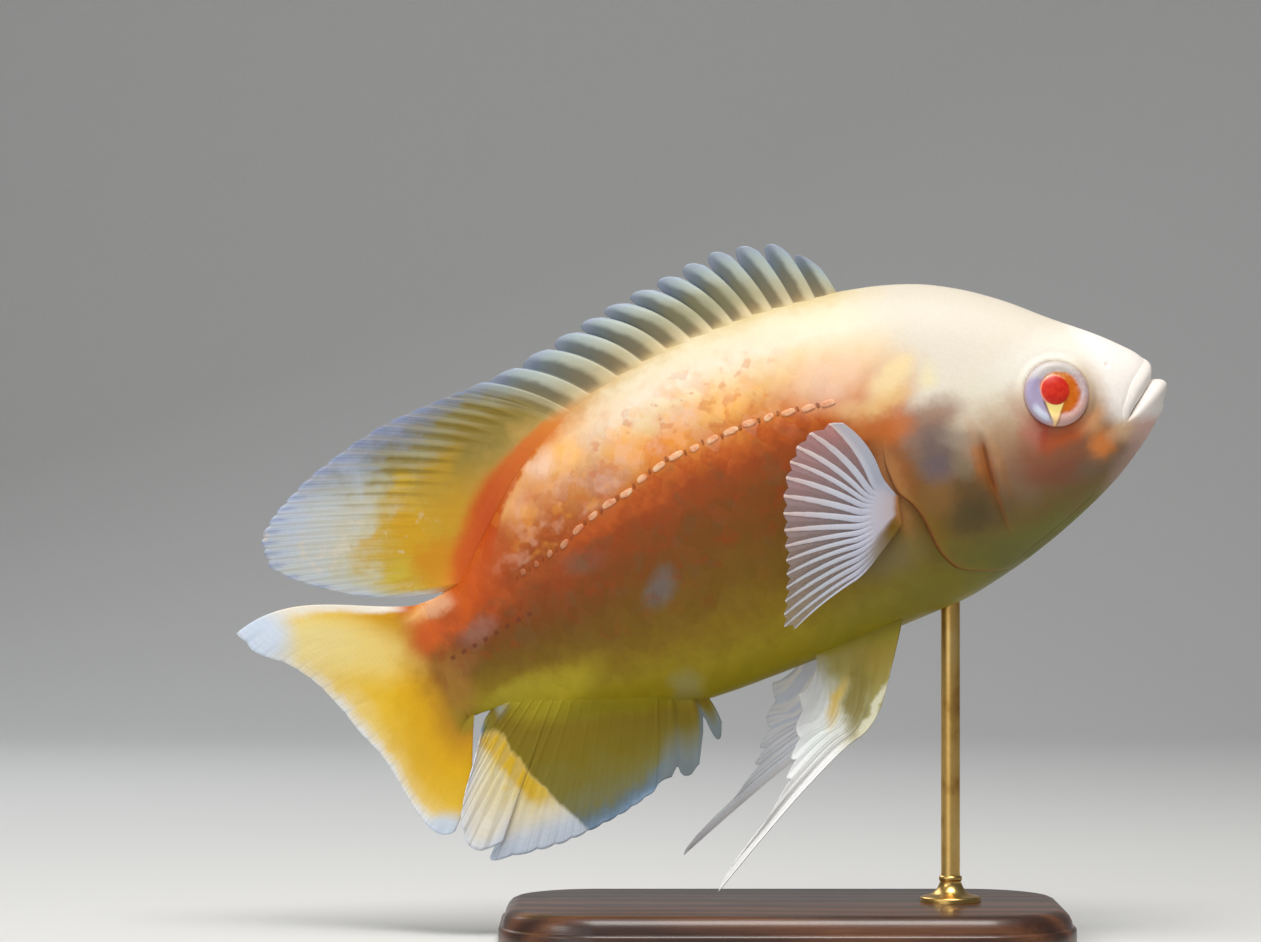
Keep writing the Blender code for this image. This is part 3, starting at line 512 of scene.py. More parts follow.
def face_relief(s, angle):
    """Height from the eye's pit and rim, the nostril, the swelling of the snout and the folds of the
    throat."""
    h = section(s, angle, 1.0)[..., 1]
    from_eye = np.hypot(s - EYE_S, h - EYE_H) / EYE_RADIUS
    pit = -EYE_PIT * ease(from_eye, 0.98, 0.84)
    rim = 0.3 * bell(from_eye, 1.08, 0.09) - 0.12 * bell(from_eye, 1.26, 0.1)
    from_nostril = np.hypot(s - NOSTRIL_S, h - NOSTRIL_H)
    nostril = -0.7 * bell(from_nostril, 0, 0.5) + 0.12 * bell(from_nostril, 1.0, 0.4)
    folds = sum(bell(angle, -66 - 6 * k - 0.16 * (s - 36), 1.1) for k in range(4))
    throat = -0.35 * folds * ease(s, 22, 30) * ease(s, 58, 48) * ease(angle, -50, -62)
    jowl = 0.3 * bell(s, 22, 6) * bell(angle, -42, 13)
    return pit + rim + nostril + throat + jowl


def body_relief(s, angle):
    """Height of the skin behind the gill cover's edge, where the body is sunk under the cover."""
    behind = np.exp(-np.clip(s - gill_edge(angle), 0, None) / 6)
    return -(GILL_STEP - GILL_RAISE) * gill_lift(angle) * behind


# %% [markdown]
# ## The lips
#
# An oscar's mouth opens at the very front and slants down. The lower jaw reaches past the upper one, and
# both carry thick white lips. The rows of the skin start inside the closed mouth, run over a lip and end in
# the crease on the face. Upper and lower lip are the two halves of one ring of rows, so the corner of the
# mouth comes by itself.

# %% Rows from the mouth to the face
MOUTH_FRONT = 1.2
MOUTH_REACH = 9.6
MOUTH_HALF_WIDTH = 9.8
MOUTH_SLOPE = 0.68
MOUTH_HEIGHT = 0.2
MOUTH_CORNER_S = 13.0
MOUTH_DEPTH = 2.4
LIP_PARTING = 0.22
LOWER_LIP_S = 0.5
UPPER_LIP_FULLNESS = 1.6
LOWER_LIP_FULLNESS = 3.1
CORNER_FULLNESS = 0.7
# The greatest value of the lower lip's hump, which makes its height one
SOFT_PEAK = 0.217
HEAD_CORE = np.array([12.0, -4.0, 0.0])
# How far back the upper lip ends on the face, from its middle at nothing to the corner of the mouth at one
upper_lip_s = smooth((0, 0.6), (0.33, 1.1), (0.52, 3), (0.64, 5.5), (0.77, 9.2), (0.88, 12),
                     (1, MOUTH_CORNER_S))
QUARTER = 60
AROUND = 4 * QUARTER


def ring_angles():
    """Angles round the body and sides, from the back down the right side and up the left. A quarter of them
    ends at the level of the mouth's corners."""
    above = np.linspace(90, MOUTH_CORNER_DEG, QUARTER, endpoint=False)
    below = np.linspace(MOUTH_CORNER_DEG, -90, QUARTER, endpoint=False)
    down = np.concatenate([above, below])
    angle = np.concatenate([down, [-90.0], down[:0:-1]])
    return angle, np.where(np.arange(AROUND) <= 2 * QUARTER, -1.0, 1.0)


def corner_share(angle):
    """None at the middle of the lips and one at a corner, and whether the place is on the upper lip."""
    upper = angle >= MOUTH_CORNER_DEG
    middle = np.where(upper, 90.0, -90.0)
    return (middle - angle) / (middle - MOUTH_CORNER_DEG), upper


def lip_crease(angle):
    """How far back the lips end on the face."""
    share, upper = corner_share(angle)
    lower_s = LOWER_LIP_S + (MOUTH_CORNER_S - LOWER_LIP_S) * share**2.2
    return np.where(upper, upper_lip_s(share), lower_s)


def lip_rows(angle, side):
    """Rings from inside the mouth to the crease: the gape is a quarter round seen from above. The upper lip
    bulges from it by the sine of its share of the way, and the lower one by a hump that thins out towards
    its end."""
    share, upper = corner_share(angle)
    turn = np.radians(90 * share)
    gape_s = MOUTH_FRONT + MOUTH_REACH * (1 - np.cos(turn))
    gape_h = MOUTH_HEIGHT - MOUTH_SLOPE * (gape_s - MOUTH_FRONT)
    gape = np.stack([gape_s, gape_h, side * MOUTH_HALF_WIDTH * np.sin(turn)], axis=-1)
    crease = raised(lip_crease(angle), angle, side, np.full(AROUND, -SKIN_DEPTH))
    parting = LIP_PARTING * (0.35 + 1.6 * ease(share, 0.3, 0)) * np.where(upper, 1, -1) * (share < 1)
    parted = gape + parting[:, None] * np.array([0.72, 0.7, 0])
    rows = []
    for depth in (1.0, 0.6, 0.25):
        inside = parted + depth * MOUTH_DEPTH * (1 - 0.6 * share)[:, None] * np.array([0.72, -0.7, 0])
        inside[:, 2] *= 1 - 0.2 * depth
        rows.append(inside)
    out = (gape + crease) / 2 - HEAD_CORE
    out /= np.linalg.norm(out, axis=1, keepdims=True)
    middle_fullness = np.where(upper, UPPER_LIP_FULLNESS, LOWER_LIP_FULLNESS)
    fullness = middle_fullness + (CORNER_FULLNESS - middle_fullness) * share**1.5
    rolled = np.where(upper, 1.0, share**3)
    for t in np.linspace(0, 0.985, LIP_ROWS) ** 1.25:
        soft_end = t**0.75 * (1 - t) ** 1.75 / SOFT_PEAK
        bulge = (np.sin(math.pi * t**0.75) * rolled + soft_end * (1 - rolled)) * fullness
        rows.append(parted + (crease - parted) * t + out * bulge[:, None])
    return rows


# %% [markdown]
# ## One skin
#
# Head, trunk and tail stalk are one skin without a seam. Its rows follow the mouth, then the groove of the
# cheek, then the edge of the gill cover, where they turn under the cover and come out again on the sunken
# body. The last rows close the end of the tail stalk inside the root of the tail fin.

# %% Rows of the skin
# How many rows run over the lips, the face, the groove, the gill cover and the body
LIP_ROWS, FACE_ROWS, GROOVE_ROWS, COVER_ROWS, BODY_ROWS = 18, 84, 20, 26, 120
UNDER_COVER = ((-0.8, 1.0), (-0.2, 1.0), (0.1, 0.8), (0.25, 0.35), (0.1, -0.2), (-1.6, -0.75), (-1.8, -1.15),
               (-0.6, -1.1))


def skin_rows():
    """Rings of the whole skin, each one row of places round the body."""
    angle, side = ring_angles()
    rows = lip_rows(angle, side)
    crease, cheek, gill, lift = lip_crease(angle), cheek_line(angle), gill_edge(angle), gill_lift(angle)

    def on_head(s):
        height = cover_relief(s, angle) + face_relief(s, angle) - SKIN_DEPTH
        crease_dip = -0.14 * bell(s - crease, 0, 1.2) * (angle >= MOUTH_CORNER_DEG)
        return raised(s, angle, side, height + crease_dip)

    for t in np.linspace(0, 1, FACE_ROWS) ** 1.15:
        rows.append(on_head(crease + 0.15 + (cheek - 3.4 - crease) * t))
    for past in np.linspace(-3.0, 3.6, GROOVE_ROWS):
        rows.append(on_head(cheek + past))
    for t in np.linspace(0.04, 1, COVER_ROWS):
        rows.append(on_head(cheek + 3.6 + (gill - 1.0 - cheek - 3.6) * t))
    folded = ease(lift, 0.1, 0.7)
    for k, (back, height) in enumerate(UNDER_COVER):
        level = GILL_RAISE * lift * height - SKIN_DEPTH
        plain = -0.8 + 1.2 * k / (len(UNDER_COVER) - 1)
        rows.append(raised(gill + back * lift * folded + plain * (1 - folded), angle, side, level))
    for t in np.linspace(0, 1, BODY_ROWS) ** 1.1:
        s = gill + 0.5 + (BODY_END - gill - 0.5) * t
        rows.append(raised(s, angle, side, body_relief(s, angle) - SKIN_DEPTH - 0.5 * ease(s, 199, 204)))
    return np.array(rows)


rows = skin_rows()
print("skin grid:", rows.shape[0], "rows of", rows.shape[1])

# %% [markdown]
# ## Markings
#
# The colours are built as a painter would lay them: first the long bands that run with the lateral line,
# ivory on the back, orange below the line and olive yellow at the belly, then soft patches over them. Each
# patch is an ellipse in the fish's frame whose edge is broken up by noise. Towards the belly the colours are
# darker than the fish's own, as painted shade under the body, and two patches are painted shade: the
# pectoral fin's shadow on the flank and a strip behind the gill cover's edge. Skin, scales and the roots of
# the fins all call the same function, so that nothing changes colour where two pieces meet.

# %% Bands and patches
lateral_points = (
    (60, 24), (67, 23), (78, 23.9), (88, 25.7), (98, 27.4), (108, 27.3), (118, 27), (128, 26.2), (138, 23.4),
    (146, 21.2), (154, 18.6), (163, 15.3), (172, 12.9), (190, 8), (206, 5),
)

# Middle s and h, half sizes, tilt in degrees, softness of the edge, strength, red, green and blue of each
# patch
HEAD_PATCHES = (
    (43.5, -11, 3.4, 7, 0, 0.7, 0.5, 138, 112, 92),
    (44, -1, 4, 5, 0, 0.7, 0.4, 174, 136, 104),
    (33, -9, 11, 7, 6, 0.6, 0.8, 148, 88, 60),
    (33, -14, 9, 3, 10, 0.7, 0.6, 128, 76, 56),
    (35, -1.5, 4.5, 4, 60, 0.7, 0.85, 176, 72, 52),
    (27, -4.6, 7, 2.6, -10, 0.7, 0.8, 196, 92, 44),
    (37.5, 2.5, 2.2, 7, 0, 0.8, 0.5, 190, 146, 124),
    (20, -4, 4, 2.6, -20, 0.8, 0.5, 232, 178, 124),
    (20, -10.8, 4.6, 3.2, -45, 0.7, 0.85, 230, 136, 66),
    (13, -8.5, 4, 3, -35, 0.7, 0.7, 236, 198, 158),
    (25, -15.5, 5, 2.6, 0, 0.8, 0.6, 122, 104, 82),
    (7, -10.5, 7.5, 3.4, -40, 0.6, 0.8, 232, 192, 180),
    (15, -17.5, 8, 3.4, -36, 0.7, 0.7, 172, 138, 128),
    (26, 16, 13, 5, 0, 0.7, 0.6, 242, 238, 230),
)
GILL_PATCHES = (
    (47.9, -4, 1.4, 8, 3, 0.8, 0.25, 190, 122, 56),
    (52.2, -5, 2.0, 9.5, 4, 0.7, 0.7, 172, 98, 32),
    (57.5, -10, 5.5, 6, 0, 0.6, 0.8, 96, 72, 34),
    (66, -9, 5, 4, 0, 0.6, 0.7, 134, 96, 48),
    (59, -16.5, 8, 5, 0, 0.6, 0.75, 80, 68, 38),
    (62, -24.5, 9, 4, 12, 0.6, 0.6, 104, 98, 44),
    (60.5, 12, 9, 4.4, -8, 0.6, 0.8, 146, 104, 84),
    (61.5, 3.5, 6.5, 6.5, 0, 0.7, 0.85, 104, 88, 86),
    (63.5, -1, 4, 3.4, 0, 0.7, 0.6, 102, 92, 102),
    (55, 4, 5.0, 2.2, 14, 0.6, 0.6, 156, 140, 122),
    (57, -2.5, 2.5, 3.2, 0, 0.7, 0.5, 132, 122, 98),
    (72, 1, 2.0, 12, 0, 0.8, 0.6, 150, 90, 44),
    (75.5, 0, 3, 12, 0, 0.7, 0.75, 190, 130, 80),
    (68, 20.5, 7, 3, -10, 0.6, 0.8, 232, 190, 126),
    (66, 25.5, 7, 3, -20, 0.6, 0.8, 242, 218, 164),
    (77.5, 20.8, 6, 2.6, 10, 0.7, 0.6, 240, 200, 140),
    (56.5, 22.5, 2.5, 2.5, 0, 0.9, 0.35, 244, 228, 142),
    (70.2, 14, 5.4, 4.2, -8, 0.7, 0.75, 202, 108, 36),
    (77.5, 16.5, 4.0, 3.0, -20, 0.7, 0.7, 204, 118, 52),
    # Painted shade: the dark brown strip on the body just behind the gill cover's free edge.
    (73, -13, 2.4, 9, 0, 0.7, 0.5, 106, 82, 34),
    (76, -28, 9, 9, 0, 0.8, 0.5, 82, 82, 36),
)
TRUNK_PATCHES = (
    (80, 31, 10, 7, 0, 0.7, 0.6, 240, 208, 186),
    # Painted shadow: the pectoral fin's shadow on the flank under its root.
    (84, -18, 9, 5, 0, 0.7, 0.6, 128, 118, 84),
    (90, -30, 16, 7, 0, 0.7, 0.6, 128, 118, 38),
    (120, 36, 6, 3, 0, 0.7, 0.6, 230, 182, 150),
    (109, 35, 6, 4, 0, 0.6, 0.7, 240, 182, 104),
    (128, 30.5, 8, 3, 0, 0.6, 0.8, 222, 128, 44),
    (137, 33, 5, 5, 0, 0.7, 0.7, 238, 166, 88),
    (144, 28.5, 5, 4, 0, 0.6, 0.7, 190, 136, 118),
    (152, 37.5, 5, 3.5, -20, 0.7, 0.7, 248, 186, 92),
    (159, 37, 4.5, 3, -30, 0.7, 0.8, 236, 196, 168),
    (165, 30.5, 6, 4, -38, 0.7, 0.7, 204, 134, 90),
    (178, 23, 7, 6, -40, 0.6, 0.85, 172, 66, 6),
    (187, 15, 9, 8, -45, 0.6, 0.9, 184, 74, 4),
    (202, 7, 7, 4, 0, 0.6, 0.85, 206, 92, 26),
    (171, 11, 9, 5, -20, 0.8, 0.45, 130, 68, 24),
    (201, -8, 4.5, 9, 0, 0.7, 0.7, 176, 124, 50),
    (197.5, 13.4, 4.6, 2.2, -5, 0.5, 0.8, 214, 158, 120),
    (190, 3, 5, 3, -15, 0.6, 0.7, 150, 104, 86),
    (196, -3, 5, 3, -10, 0.6, 0.6, 150, 96, 44),
    (141, -3.5, 5.5, 3.2, -38, 0.6, 0.85, 112, 102, 96),
    (158, 10, 6, 3, 0, 0.7, 0.6, 124, 88, 66),
    (188, -16, 10, 3, -14, 0.6, 0.7, 184, 166, 40),
    (178, -20, 13, 5, -14, 0.7, 0.75, 190, 172, 34),
    (144, -30, 4, 4, -10, 0.7, 0.7, 160, 152, 96),
)


def add_patches(p, colour, s, h, patches):
    """Lays soft ellipses over a colour. Each has its own Mapping node, which turns the fish's coordinates
    into the ellipse's, where its edge lies at a distance of one."""
    flat = p.vector(s, h, 0.0)
    for middle_s, middle_h, half_s, half_h, tilt, soft, strength, *tone in patches:
        inputs = {
            "Vector": flat, "Location": (middle_s, middle_h, 0), "Rotation": (0, 0, math.radians(tilt)),
            "Scale": (half_s, half_h, 1),
        }
        local = p.add("ShaderNodeMapping", {"vector_type": "TEXTURE"}, inputs)
        reach = p.add("ShaderNodeVectorMath", {"operation": "LENGTH"}, {0: local}, "Value")
        colour = p.blend(p.step(reach, 1 + soft, 1 - soft) * strength, colour, rgb(*tone))
    return colour


# Middle height of the orange band where the soft dorsal fin grows out of the back, and of the lower lateral
# line
band_points = ((146, 49.5), (153, 47), (160, 43.8), (170, 37), (180, 27.5), (187, 19.5), (193, 13))
lower_line_points = ((172, 2.6), (180, 1.8), (188, 0.4), (197, -0.9), (203, -1.6))
LOWER_LINE_PITCH = 3.3


# Least and most s and h of the part of the skin that a piece shows
WHOLE_FISH = (-10, 260, -90, 90)


def touching(patches, part):
    """The patches that can reach a part of the fish. A shader holds only so many numbers at once, so a fin's
    root carries no patches of the face."""
    first_s, last_s, lowest, highest = part
    kept = []
    for patch in patches:
        far = 1.8 * max(patch[2], patch[3]) + 2
        if first_s - far < patch[0] < last_s + far and lowest - far < patch[1] < highest + far:
            kept.append(patch)
    return kept


def clouds(p, s, h, y, offset, scale, low, high):
    """Soft islands of noise: one inside them, nothing between them."""
    return p.step(p.noise(p.vector(s, h + offset, y), scale, 2.0, 0.5), low, high)


def head_colour(p, s, h, blurred_s, blurred_h, wobble, fine):
    """Bands from the throat up to the nape, the patches of the face, and the white snout over them. The low
    bands at the throat are darkened in part as painted shade under the head.
    """
    # Partly painted shade: the lowest bands, at the throat, are darker than the skin's own colour.
    head = p.ramp(h + wobble * 7 + fine * 4, (-34, 102, 102, 46), (-26, 114, 110, 44), (-20, 120, 98, 46),
                  (-14, 124, 96, 62),
        (-8, 140, 106, 78), (-2, 168, 132, 102), (3, 190, 162, 132), (8, 212, 194, 170),
        (13, 230, 222, 202), (20, 228, 219, 202), (30, 220, 212, 196), (45, 210, 202, 186),
    )
    head = add_patches(p, head, blurred_s, blurred_h, HEAD_PATCHES)
    snout = p.step(s + fine * 3, 19.5, 12.0) * p.step(h + fine * 2 - s * 0.25, -12.5, -8.5)
    return p.lay(snout * 0.9, head, 252, 246, 240)


def markings(p, s, h, y, part=WHOLE_FISH):
    """The colour of a part of the fish's skin. On the trunk a ramp runs from the belly at -1 over the
    lateral line at 0 to the back at 1, with one ramp for the front of the back and one for its rear. Below
    the line both ramps are darker than the fish's own colours: part of that is painted shade under the body.
    The head has bands of its own, and the patches come over both."""
    wobble = p.noise(p.vector(s, h, y), 0.10, 4.0, 0.6) - 0.5
    fine = p.noise(p.vector(s, h, y + 40.0), 0.32, 3.0, 0.65) - 0.5
    lateral = p.line(s, 55.0, 210.0, *lateral_points)
    top = p.line(s, 55.0, 210.0, (55, 48), (78, 53.2), (112, 55), (142, 50.6), (166, 39.6), (187, 21.6),
                 (206, 15))
    low = p.line(s, 55.0, 210.0, (55, -34), (75, -36.5), (125, -36.6), (148, -33.6), (174, -25), (193, -18),
                 (206, -18))
    over = h - lateral
    level = p.math("MAXIMUM", over, 0.0) / (top - lateral) + p.math("MINIMUM", over, 0.0) / (lateral - low)
    level = level + wobble * 0.2 + fine * 0.14
    # Partly painted shade: these colours below the lateral line are darker than the fish's own, for the
    # shade under the body.
    below = (
        (-1, 150, 136, 20), (-0.86, 158, 138, 16), (-0.72, 138, 110, 8), (-0.56, 122, 88, 8),
        (-0.42, 118, 74, 8), (-0.26, 126, 66, 8), (-0.14, 150, 66, 8), (-0.05, 184, 84, 18),
    )
    front = p.ramp(level, *below, (0.02, 204, 116, 44), (0.12, 210, 140, 72), (0.28, 228, 180, 116),
        (0.46, 234, 208, 164), (0.64, 234, 220, 196), (0.85, 226, 212, 180), (1, 206, 188, 140),
    )
    rear = p.ramp(level, *below, (0.06, 158, 70, 12), (0.22, 166, 78, 18), (0.38, 188, 106, 44),
        (0.58, 218, 150, 80), (0.76, 232, 170, 96), (0.9, 214, 132, 52), (1, 200, 98, 16),
    )
    trunk = p.blend(p.step(s + wobble * 20, 128.0, 162.0), front, rear)
    ridge = p.step(level, 0.8, 1.0) * p.step(s, 104.0, 134.0) * p.step(s, 152.0, 144.0)
    trunk = p.lay(ridge * 0.6, trunk, 196, 158, 100)
    blurred_s, blurred_h = s + wobble * 6 + fine * 2.4, h - wobble * 4 + fine * 2.8
    if part[0] < 60:
        head = head_colour(p, s, h, blurred_s, blurred_h, wobble, fine)
        trunk = p.blend(p.step(s + wobble * 14, 54.0, 76.0), head, trunk)
    colour = add_patches(p, trunk, blurred_s, blurred_h, touching(GILL_PATCHES + TRUNK_PATCHES, part))
    on_flank = p.step(s, 84.0, 104.0) * p.step(level, 0.85, 0.5)
    above = p.step(level, 0.0, 0.1) * on_flank * p.step(s, 186.0, 168.0)
    colour = p.lay(clouds(p, s, h, y, 0.0, 0.2, 0.5, 0.66) * above * 0.36, colour, 228, 176, 146)
    colour = p.lay(clouds(p, s, h, y, 70.0, 0.2, 0.5, 0.66) * above * 0.32, colour, 240, 164, 60)
    colour = p.lay(clouds(p, s, h, y, 110.0, 0.26, 0.56, 0.66) * above * 0.4, colour, 196, 96, 34)
    under = p.step(level, 0.02, -0.06) * p.step(level, -0.7, -0.4) * p.step(s, 84.0, 104.0)
    colour = p.lay(clouds(p, s, h, y, 150.0, 0.24, 0.54, 0.66) * under * 0.35, colour, 150, 58, 8)
    colour = p.lay(clouds(p, s, h, y, 190.0, 0.2, 0.54, 0.66) * under * 0.3, colour, 106, 82, 44)
    band_middle = p.line(s, 145.0, 195.0, *band_points)
    band_half = p.line(s, 145.0, 195.0, (146, 1.5), (160, 3.2), (172, 4.6), (182, 8.5), (190, 8.5))
    from_band = p.math("ABSOLUTE", h - band_middle + fine * 4) / band_half
    band = p.step(from_band, 1.25, 0.7) * p.step(s, 144.0, 154.0) * p.step(s, 196.0, 190.0)
    band_colour = p.ramp(s, (146, 208, 130, 40), (160, 198, 98, 14), (176, 184, 68, 2),
                         (192, 200, 88, 6))
    colour = p.blend(band * 0.92, colour, band_colour)
    from_line = p.math("ABSOLUTE", h - p.line(s, 170.0, 205.0, *lower_line_points))
    beat = p.math("SINE", s * (2 * math.pi / LOWER_LINE_PITCH))
    dots = p.step(from_line, 0.8, 0.35) * p.step(beat, 0.0, 0.7)
    dots = dots * p.step(s, 173.0, 175.0) * p.step(s, 202.0, 199.0)
    return p.lay(dots * 0.75, colour, 104, 48, 18)


# %% Paint of the skin
def skin_paint():
    """Satin skin under a clear coat, with fine bumps, darker where folds hold shade."""
    p = Paint("oscar skin", coat_roughness=0.3, specular_ior_level=0.22)
    s, h, y = fish_place(p)
    colour = markings(p, s, h, y)
    place = p.vector(s, h, y)
    speckle = p.noise(place, 1.1, 3.0, 0.6)
    colour = p.shade(colour, 0.94 + speckle * 0.12)
    # Painted shade: the fields rim and fold darken the skin along the gill cover's edge and in the cheek's
    # groove.
    colour = p.lay(p.field("rim") * 0.4, colour, 140, 104, 40)
    colour = p.lay(p.field("fold") * 0.7, colour, 160, 84, 22)
    colour = p.lay(p.step(p.field("fold"), 0.4, 0.9) * 0.7, colour, 96, 48, 14)
    pores = p.add("ShaderNodeTexVoronoi", {"feature": "F1"}, {"Vector": place, "Scale": 0.9}, "Distance")
    height = pores * 0.5 + speckle * 0.5
    return p.wire(
        base_color=colour,
        roughness=0.42 + speckle * 0.16,
        coat_weight=0.04 + speckle * 0.08,
        normal=p.bump(height, 0.1, 0.0005),
    )


# %% Build the skin
def make_skin():
    """The skin's grid, closed across the back of the mouth and at the tail."""
    angle, _ = ring_angles()
    grid = skin_rows()
    count = grid.shape[0]
    quads = grid_quads(count, AROUND, closed=True)
    k = np.arange(QUARTER)
    below = 2 * QUARTER - k
    mouth_right = np.stack([k, k + 1, below - 1, below], axis=-1)[:-1]
    left = (AROUND - k) % AROUND
    mouth_left = np.stack([left, AROUND - k - 1, 2 * QUARTER + k + 1, 2 * QUARTER + k], axis=-1)[:-1]
    last = QUARTER - 1
    tips = np.array([[last, QUARTER, QUARTER + 1], [AROUND - last, 3 * QUARTER, 3 * QUARTER - 1]])
    tail_middle = np.array([BODY_END, -1.5, 0.0])
    ring = np.arange(AROUND) + (count - 1) * AROUND
    end = fan(ring, count * AROUND, False)
    places = np.concatenate([grid.reshape(-1, 3), tail_middle[None]])
    s = grid[..., 0]
    from_cheek = np.abs(s - cheek_line(angle)[None])
    # Painted shade, carried by the fields fold and rim: fold darkens the cheek's groove and the body just
    # behind the gill cover's free edge, and rim lays soft olive shade on the cover in front of its lower
    # edge.
    fold = 0.9 * bell(from_cheek, 0, groove_width(angle)[None] * 0.8) * groove_depth(angle)[None]
    past_gill = s - gill_edge(angle)[None]
    on_edge = gill_lift(angle)[None] * (s > 45)
    shaded = np.where(past_gill > -0.3, np.exp(-np.abs(past_gill) / 3.0), 0)
    fold += 0.85 * shaded * on_edge * ease(angle, 2, -12)
    rim = bell(past_gill, -1.1, 0.7) * on_edge * ease(angle, 6, -14)[None]
    fields = {"fold": np.append(np.clip(fold, 0, 1), 0), "rim": np.append(rim, 0)}
    groups = [quads, mouth_right[:, ::-1], mouth_left, tips, end]
    return make_piece("skin", room(places), groups, skin_paint(),
                      ("head", "torso", "tail_stalk"), fields)


make_skin()

# %% [markdown]
# ## Scales
#
# The scales lie in rows beside the lateral line, each row half a scale out of step with the next, and each
# scale overlaps the one behind it. They could be a bump in the skin's material, but then the outline of the
# flank would stay bare, so each is a small closed shell: a rounded fan that rises a little from its root to
# its free edge. All of them are worked out in one go, as one array of scales by points.

# %% Where the scales sit
lateral_line = smooth(*lateral_points)
scale_pitch = smooth((44, 3.4), (70, 5.2), (140, 5.2), (175, 3.9), (206, 3.2))
row_pitch = smooth((44, 2.6), (70, 3.2), (140, 3.1), (175, 2.6), (206, 2.3))


SECTION_STEPS = 361


def scale_places():
    """The s and angle of each scale's middle on one side, its row, and its pitches. Columns stand half a
    pitch apart along s. In a column, every second row is placed by its distance along the section from the
    lateral line."""
    found = []
    s, column = 46.0, 0
    while s < BODY_END - 1:
        angle = np.linspace(-90, 90, SECTION_STEPS)
        outline = section(np.full(SECTION_STEPS, s), angle, 1.0)
        arc = np.concatenate([[0], np.cumsum(np.linalg.norm(np.diff(outline, axis=0), axis=1))])
        start = np.interp(lateral_line(s), outline[:, 1], arc)
        pitch = float(row_pitch(s))
        numbers = np.arange(-40 + column % 2, 40, 2)
        at = start + numbers * pitch
        kept = (at > 1.2) & (at < arc[-1] - 0.8)
        turned = np.interp(at[kept], arc, angle)
        behind = s > gill_edge(turned) + 0.6
        on_nape = (turned > 26) & (s > 68)
        shown = behind | on_nape
        rows_kept = numbers[kept][shown]
        count = shown.sum()
        found.append(np.stack([np.full(count, s), turned[shown], rows_kept, np.full(count, scale_pitch(s)),
                               np.full(count, pitch)], axis=-1))
        s += float(scale_pitch(s)) / 2
        column += 1
    return np.concatenate(found)


placed = scale_places()
print("scales on a side:", len(placed))

# %% Shape of one scale, many times
ACROSS = 9
ALONG = 7


def scale_mesh(places, side, seed):
    """Closed shells for all scales. Across and along are shares of a scale's width and length. The free edge
    is an arc, the height is a pillow that is highest before the free edge and falls towards both sides, and
    the rim is drawn down to one point under the skin."""
    rng = np.random.default_rng(seed)
    s, angle, _, pitch, rows_apart = places.T
    number = len(s)
    v = np.linspace(-1, 1, ACROSS)[None, None, :]
    t = np.linspace(0, 1, ALONG)[None, :, None]
    width = rows_apart[:, None, None] * 1.2 * rng.uniform(0.97, 1.03, number)[:, None, None]
    length = pitch[:, None, None] * 1.3
    arc = np.sqrt(1 - (0.8 * v) ** 2)
    u = -0.56 * length + length * t * (0.5 + 0.5 * arc)
    w = width * v * (0.8 + 0.2 * np.sin(np.pi * np.clip(t * 0.9 + 0.1, 0, 1)))
    step = 0.5
    ahead = section(s + step, angle, 1.0) - section(s - step, angle, 1.0)
    above = section(s, angle + step, 1.0) - section(s, angle - step, 1.0)
    along, round_it = [np.linalg.norm(way, axis=-1) / (2 * step) for way in (ahead, above)]
    lean = rng.uniform(-0.06, 0.06, number)[:, None, None]
    at_s = s[:, None, None] + (u - lean * w) / along[:, None, None]
    turned = angle[:, None, None] + (w + lean * u) / np.maximum(round_it, 0.05)[:, None, None]
    at_angle = np.clip(turned, -89.5, 89.5)
    full = (0.3 + 0.7 * ease(s, 66, 96)) * (1 - 0.65 * ease(angle, 28, 64))
    full = full * (1 - 0.5 * ease(angle, -50, -75))
    lift = 0.09 * full[:, None, None] * rng.uniform(0.75, 1.2, number)[:, None, None]
    pillow = np.sin(np.pi / 2 * np.clip(t * 1.15, 0, 1)) * (1 - 0.7 * t**8)
    height = -0.02 + lift * pillow * (1 - 0.5 * v**2) - 0.02 * np.abs(v) ** 5
    height = height + body_relief(at_s, at_angle) - SKIN_DEPTH + 0.02
    top = raised(at_s, at_angle, side, height)
    root = raised(s, angle, side, body_relief(s, angle) - SKIN_DEPTH - 0.5)
    per = ACROSS * ALONG + 1
    share = np.broadcast_to(t, (number, ALONG, ACROSS)).reshape(number, -1)
    across = np.broadcast_to(v, (number, ALONG, ACROSS)).reshape(number, -1)
    pad = np.zeros((number, 1))
    fields = {
        "free_edge": np.concatenate([share, pad], axis=1),
        "across": np.concatenate([across, pad], axis=1),
        "tone": np.repeat(rng.uniform(0, 1, number), per),
        "tint": np.repeat(rng.uniform(0, 1, number), per),
    }
    centre = np.stack([s / 215.0, (angle + 90) / 180.0], axis=-1)
    spread = np.stack([u / length, w / width], axis=-1).reshape(number, -1, 2) * 0.0015
    uv = centre[:, None, :] * 0.98 + 0.01 + np.concatenate([spread, np.zeros((number, 1, 2))], axis=1)
    return *shells(top, root), fields, uv


# %% [markdown]
# Each scale repeats the markings of the skin under it, but a real coat is never even: neighbours differ in
# tone, and above the lateral line some are pink, some yellow. Two random numbers that a scale carries make
# that difference. Fine rings near the free edge catch the light.


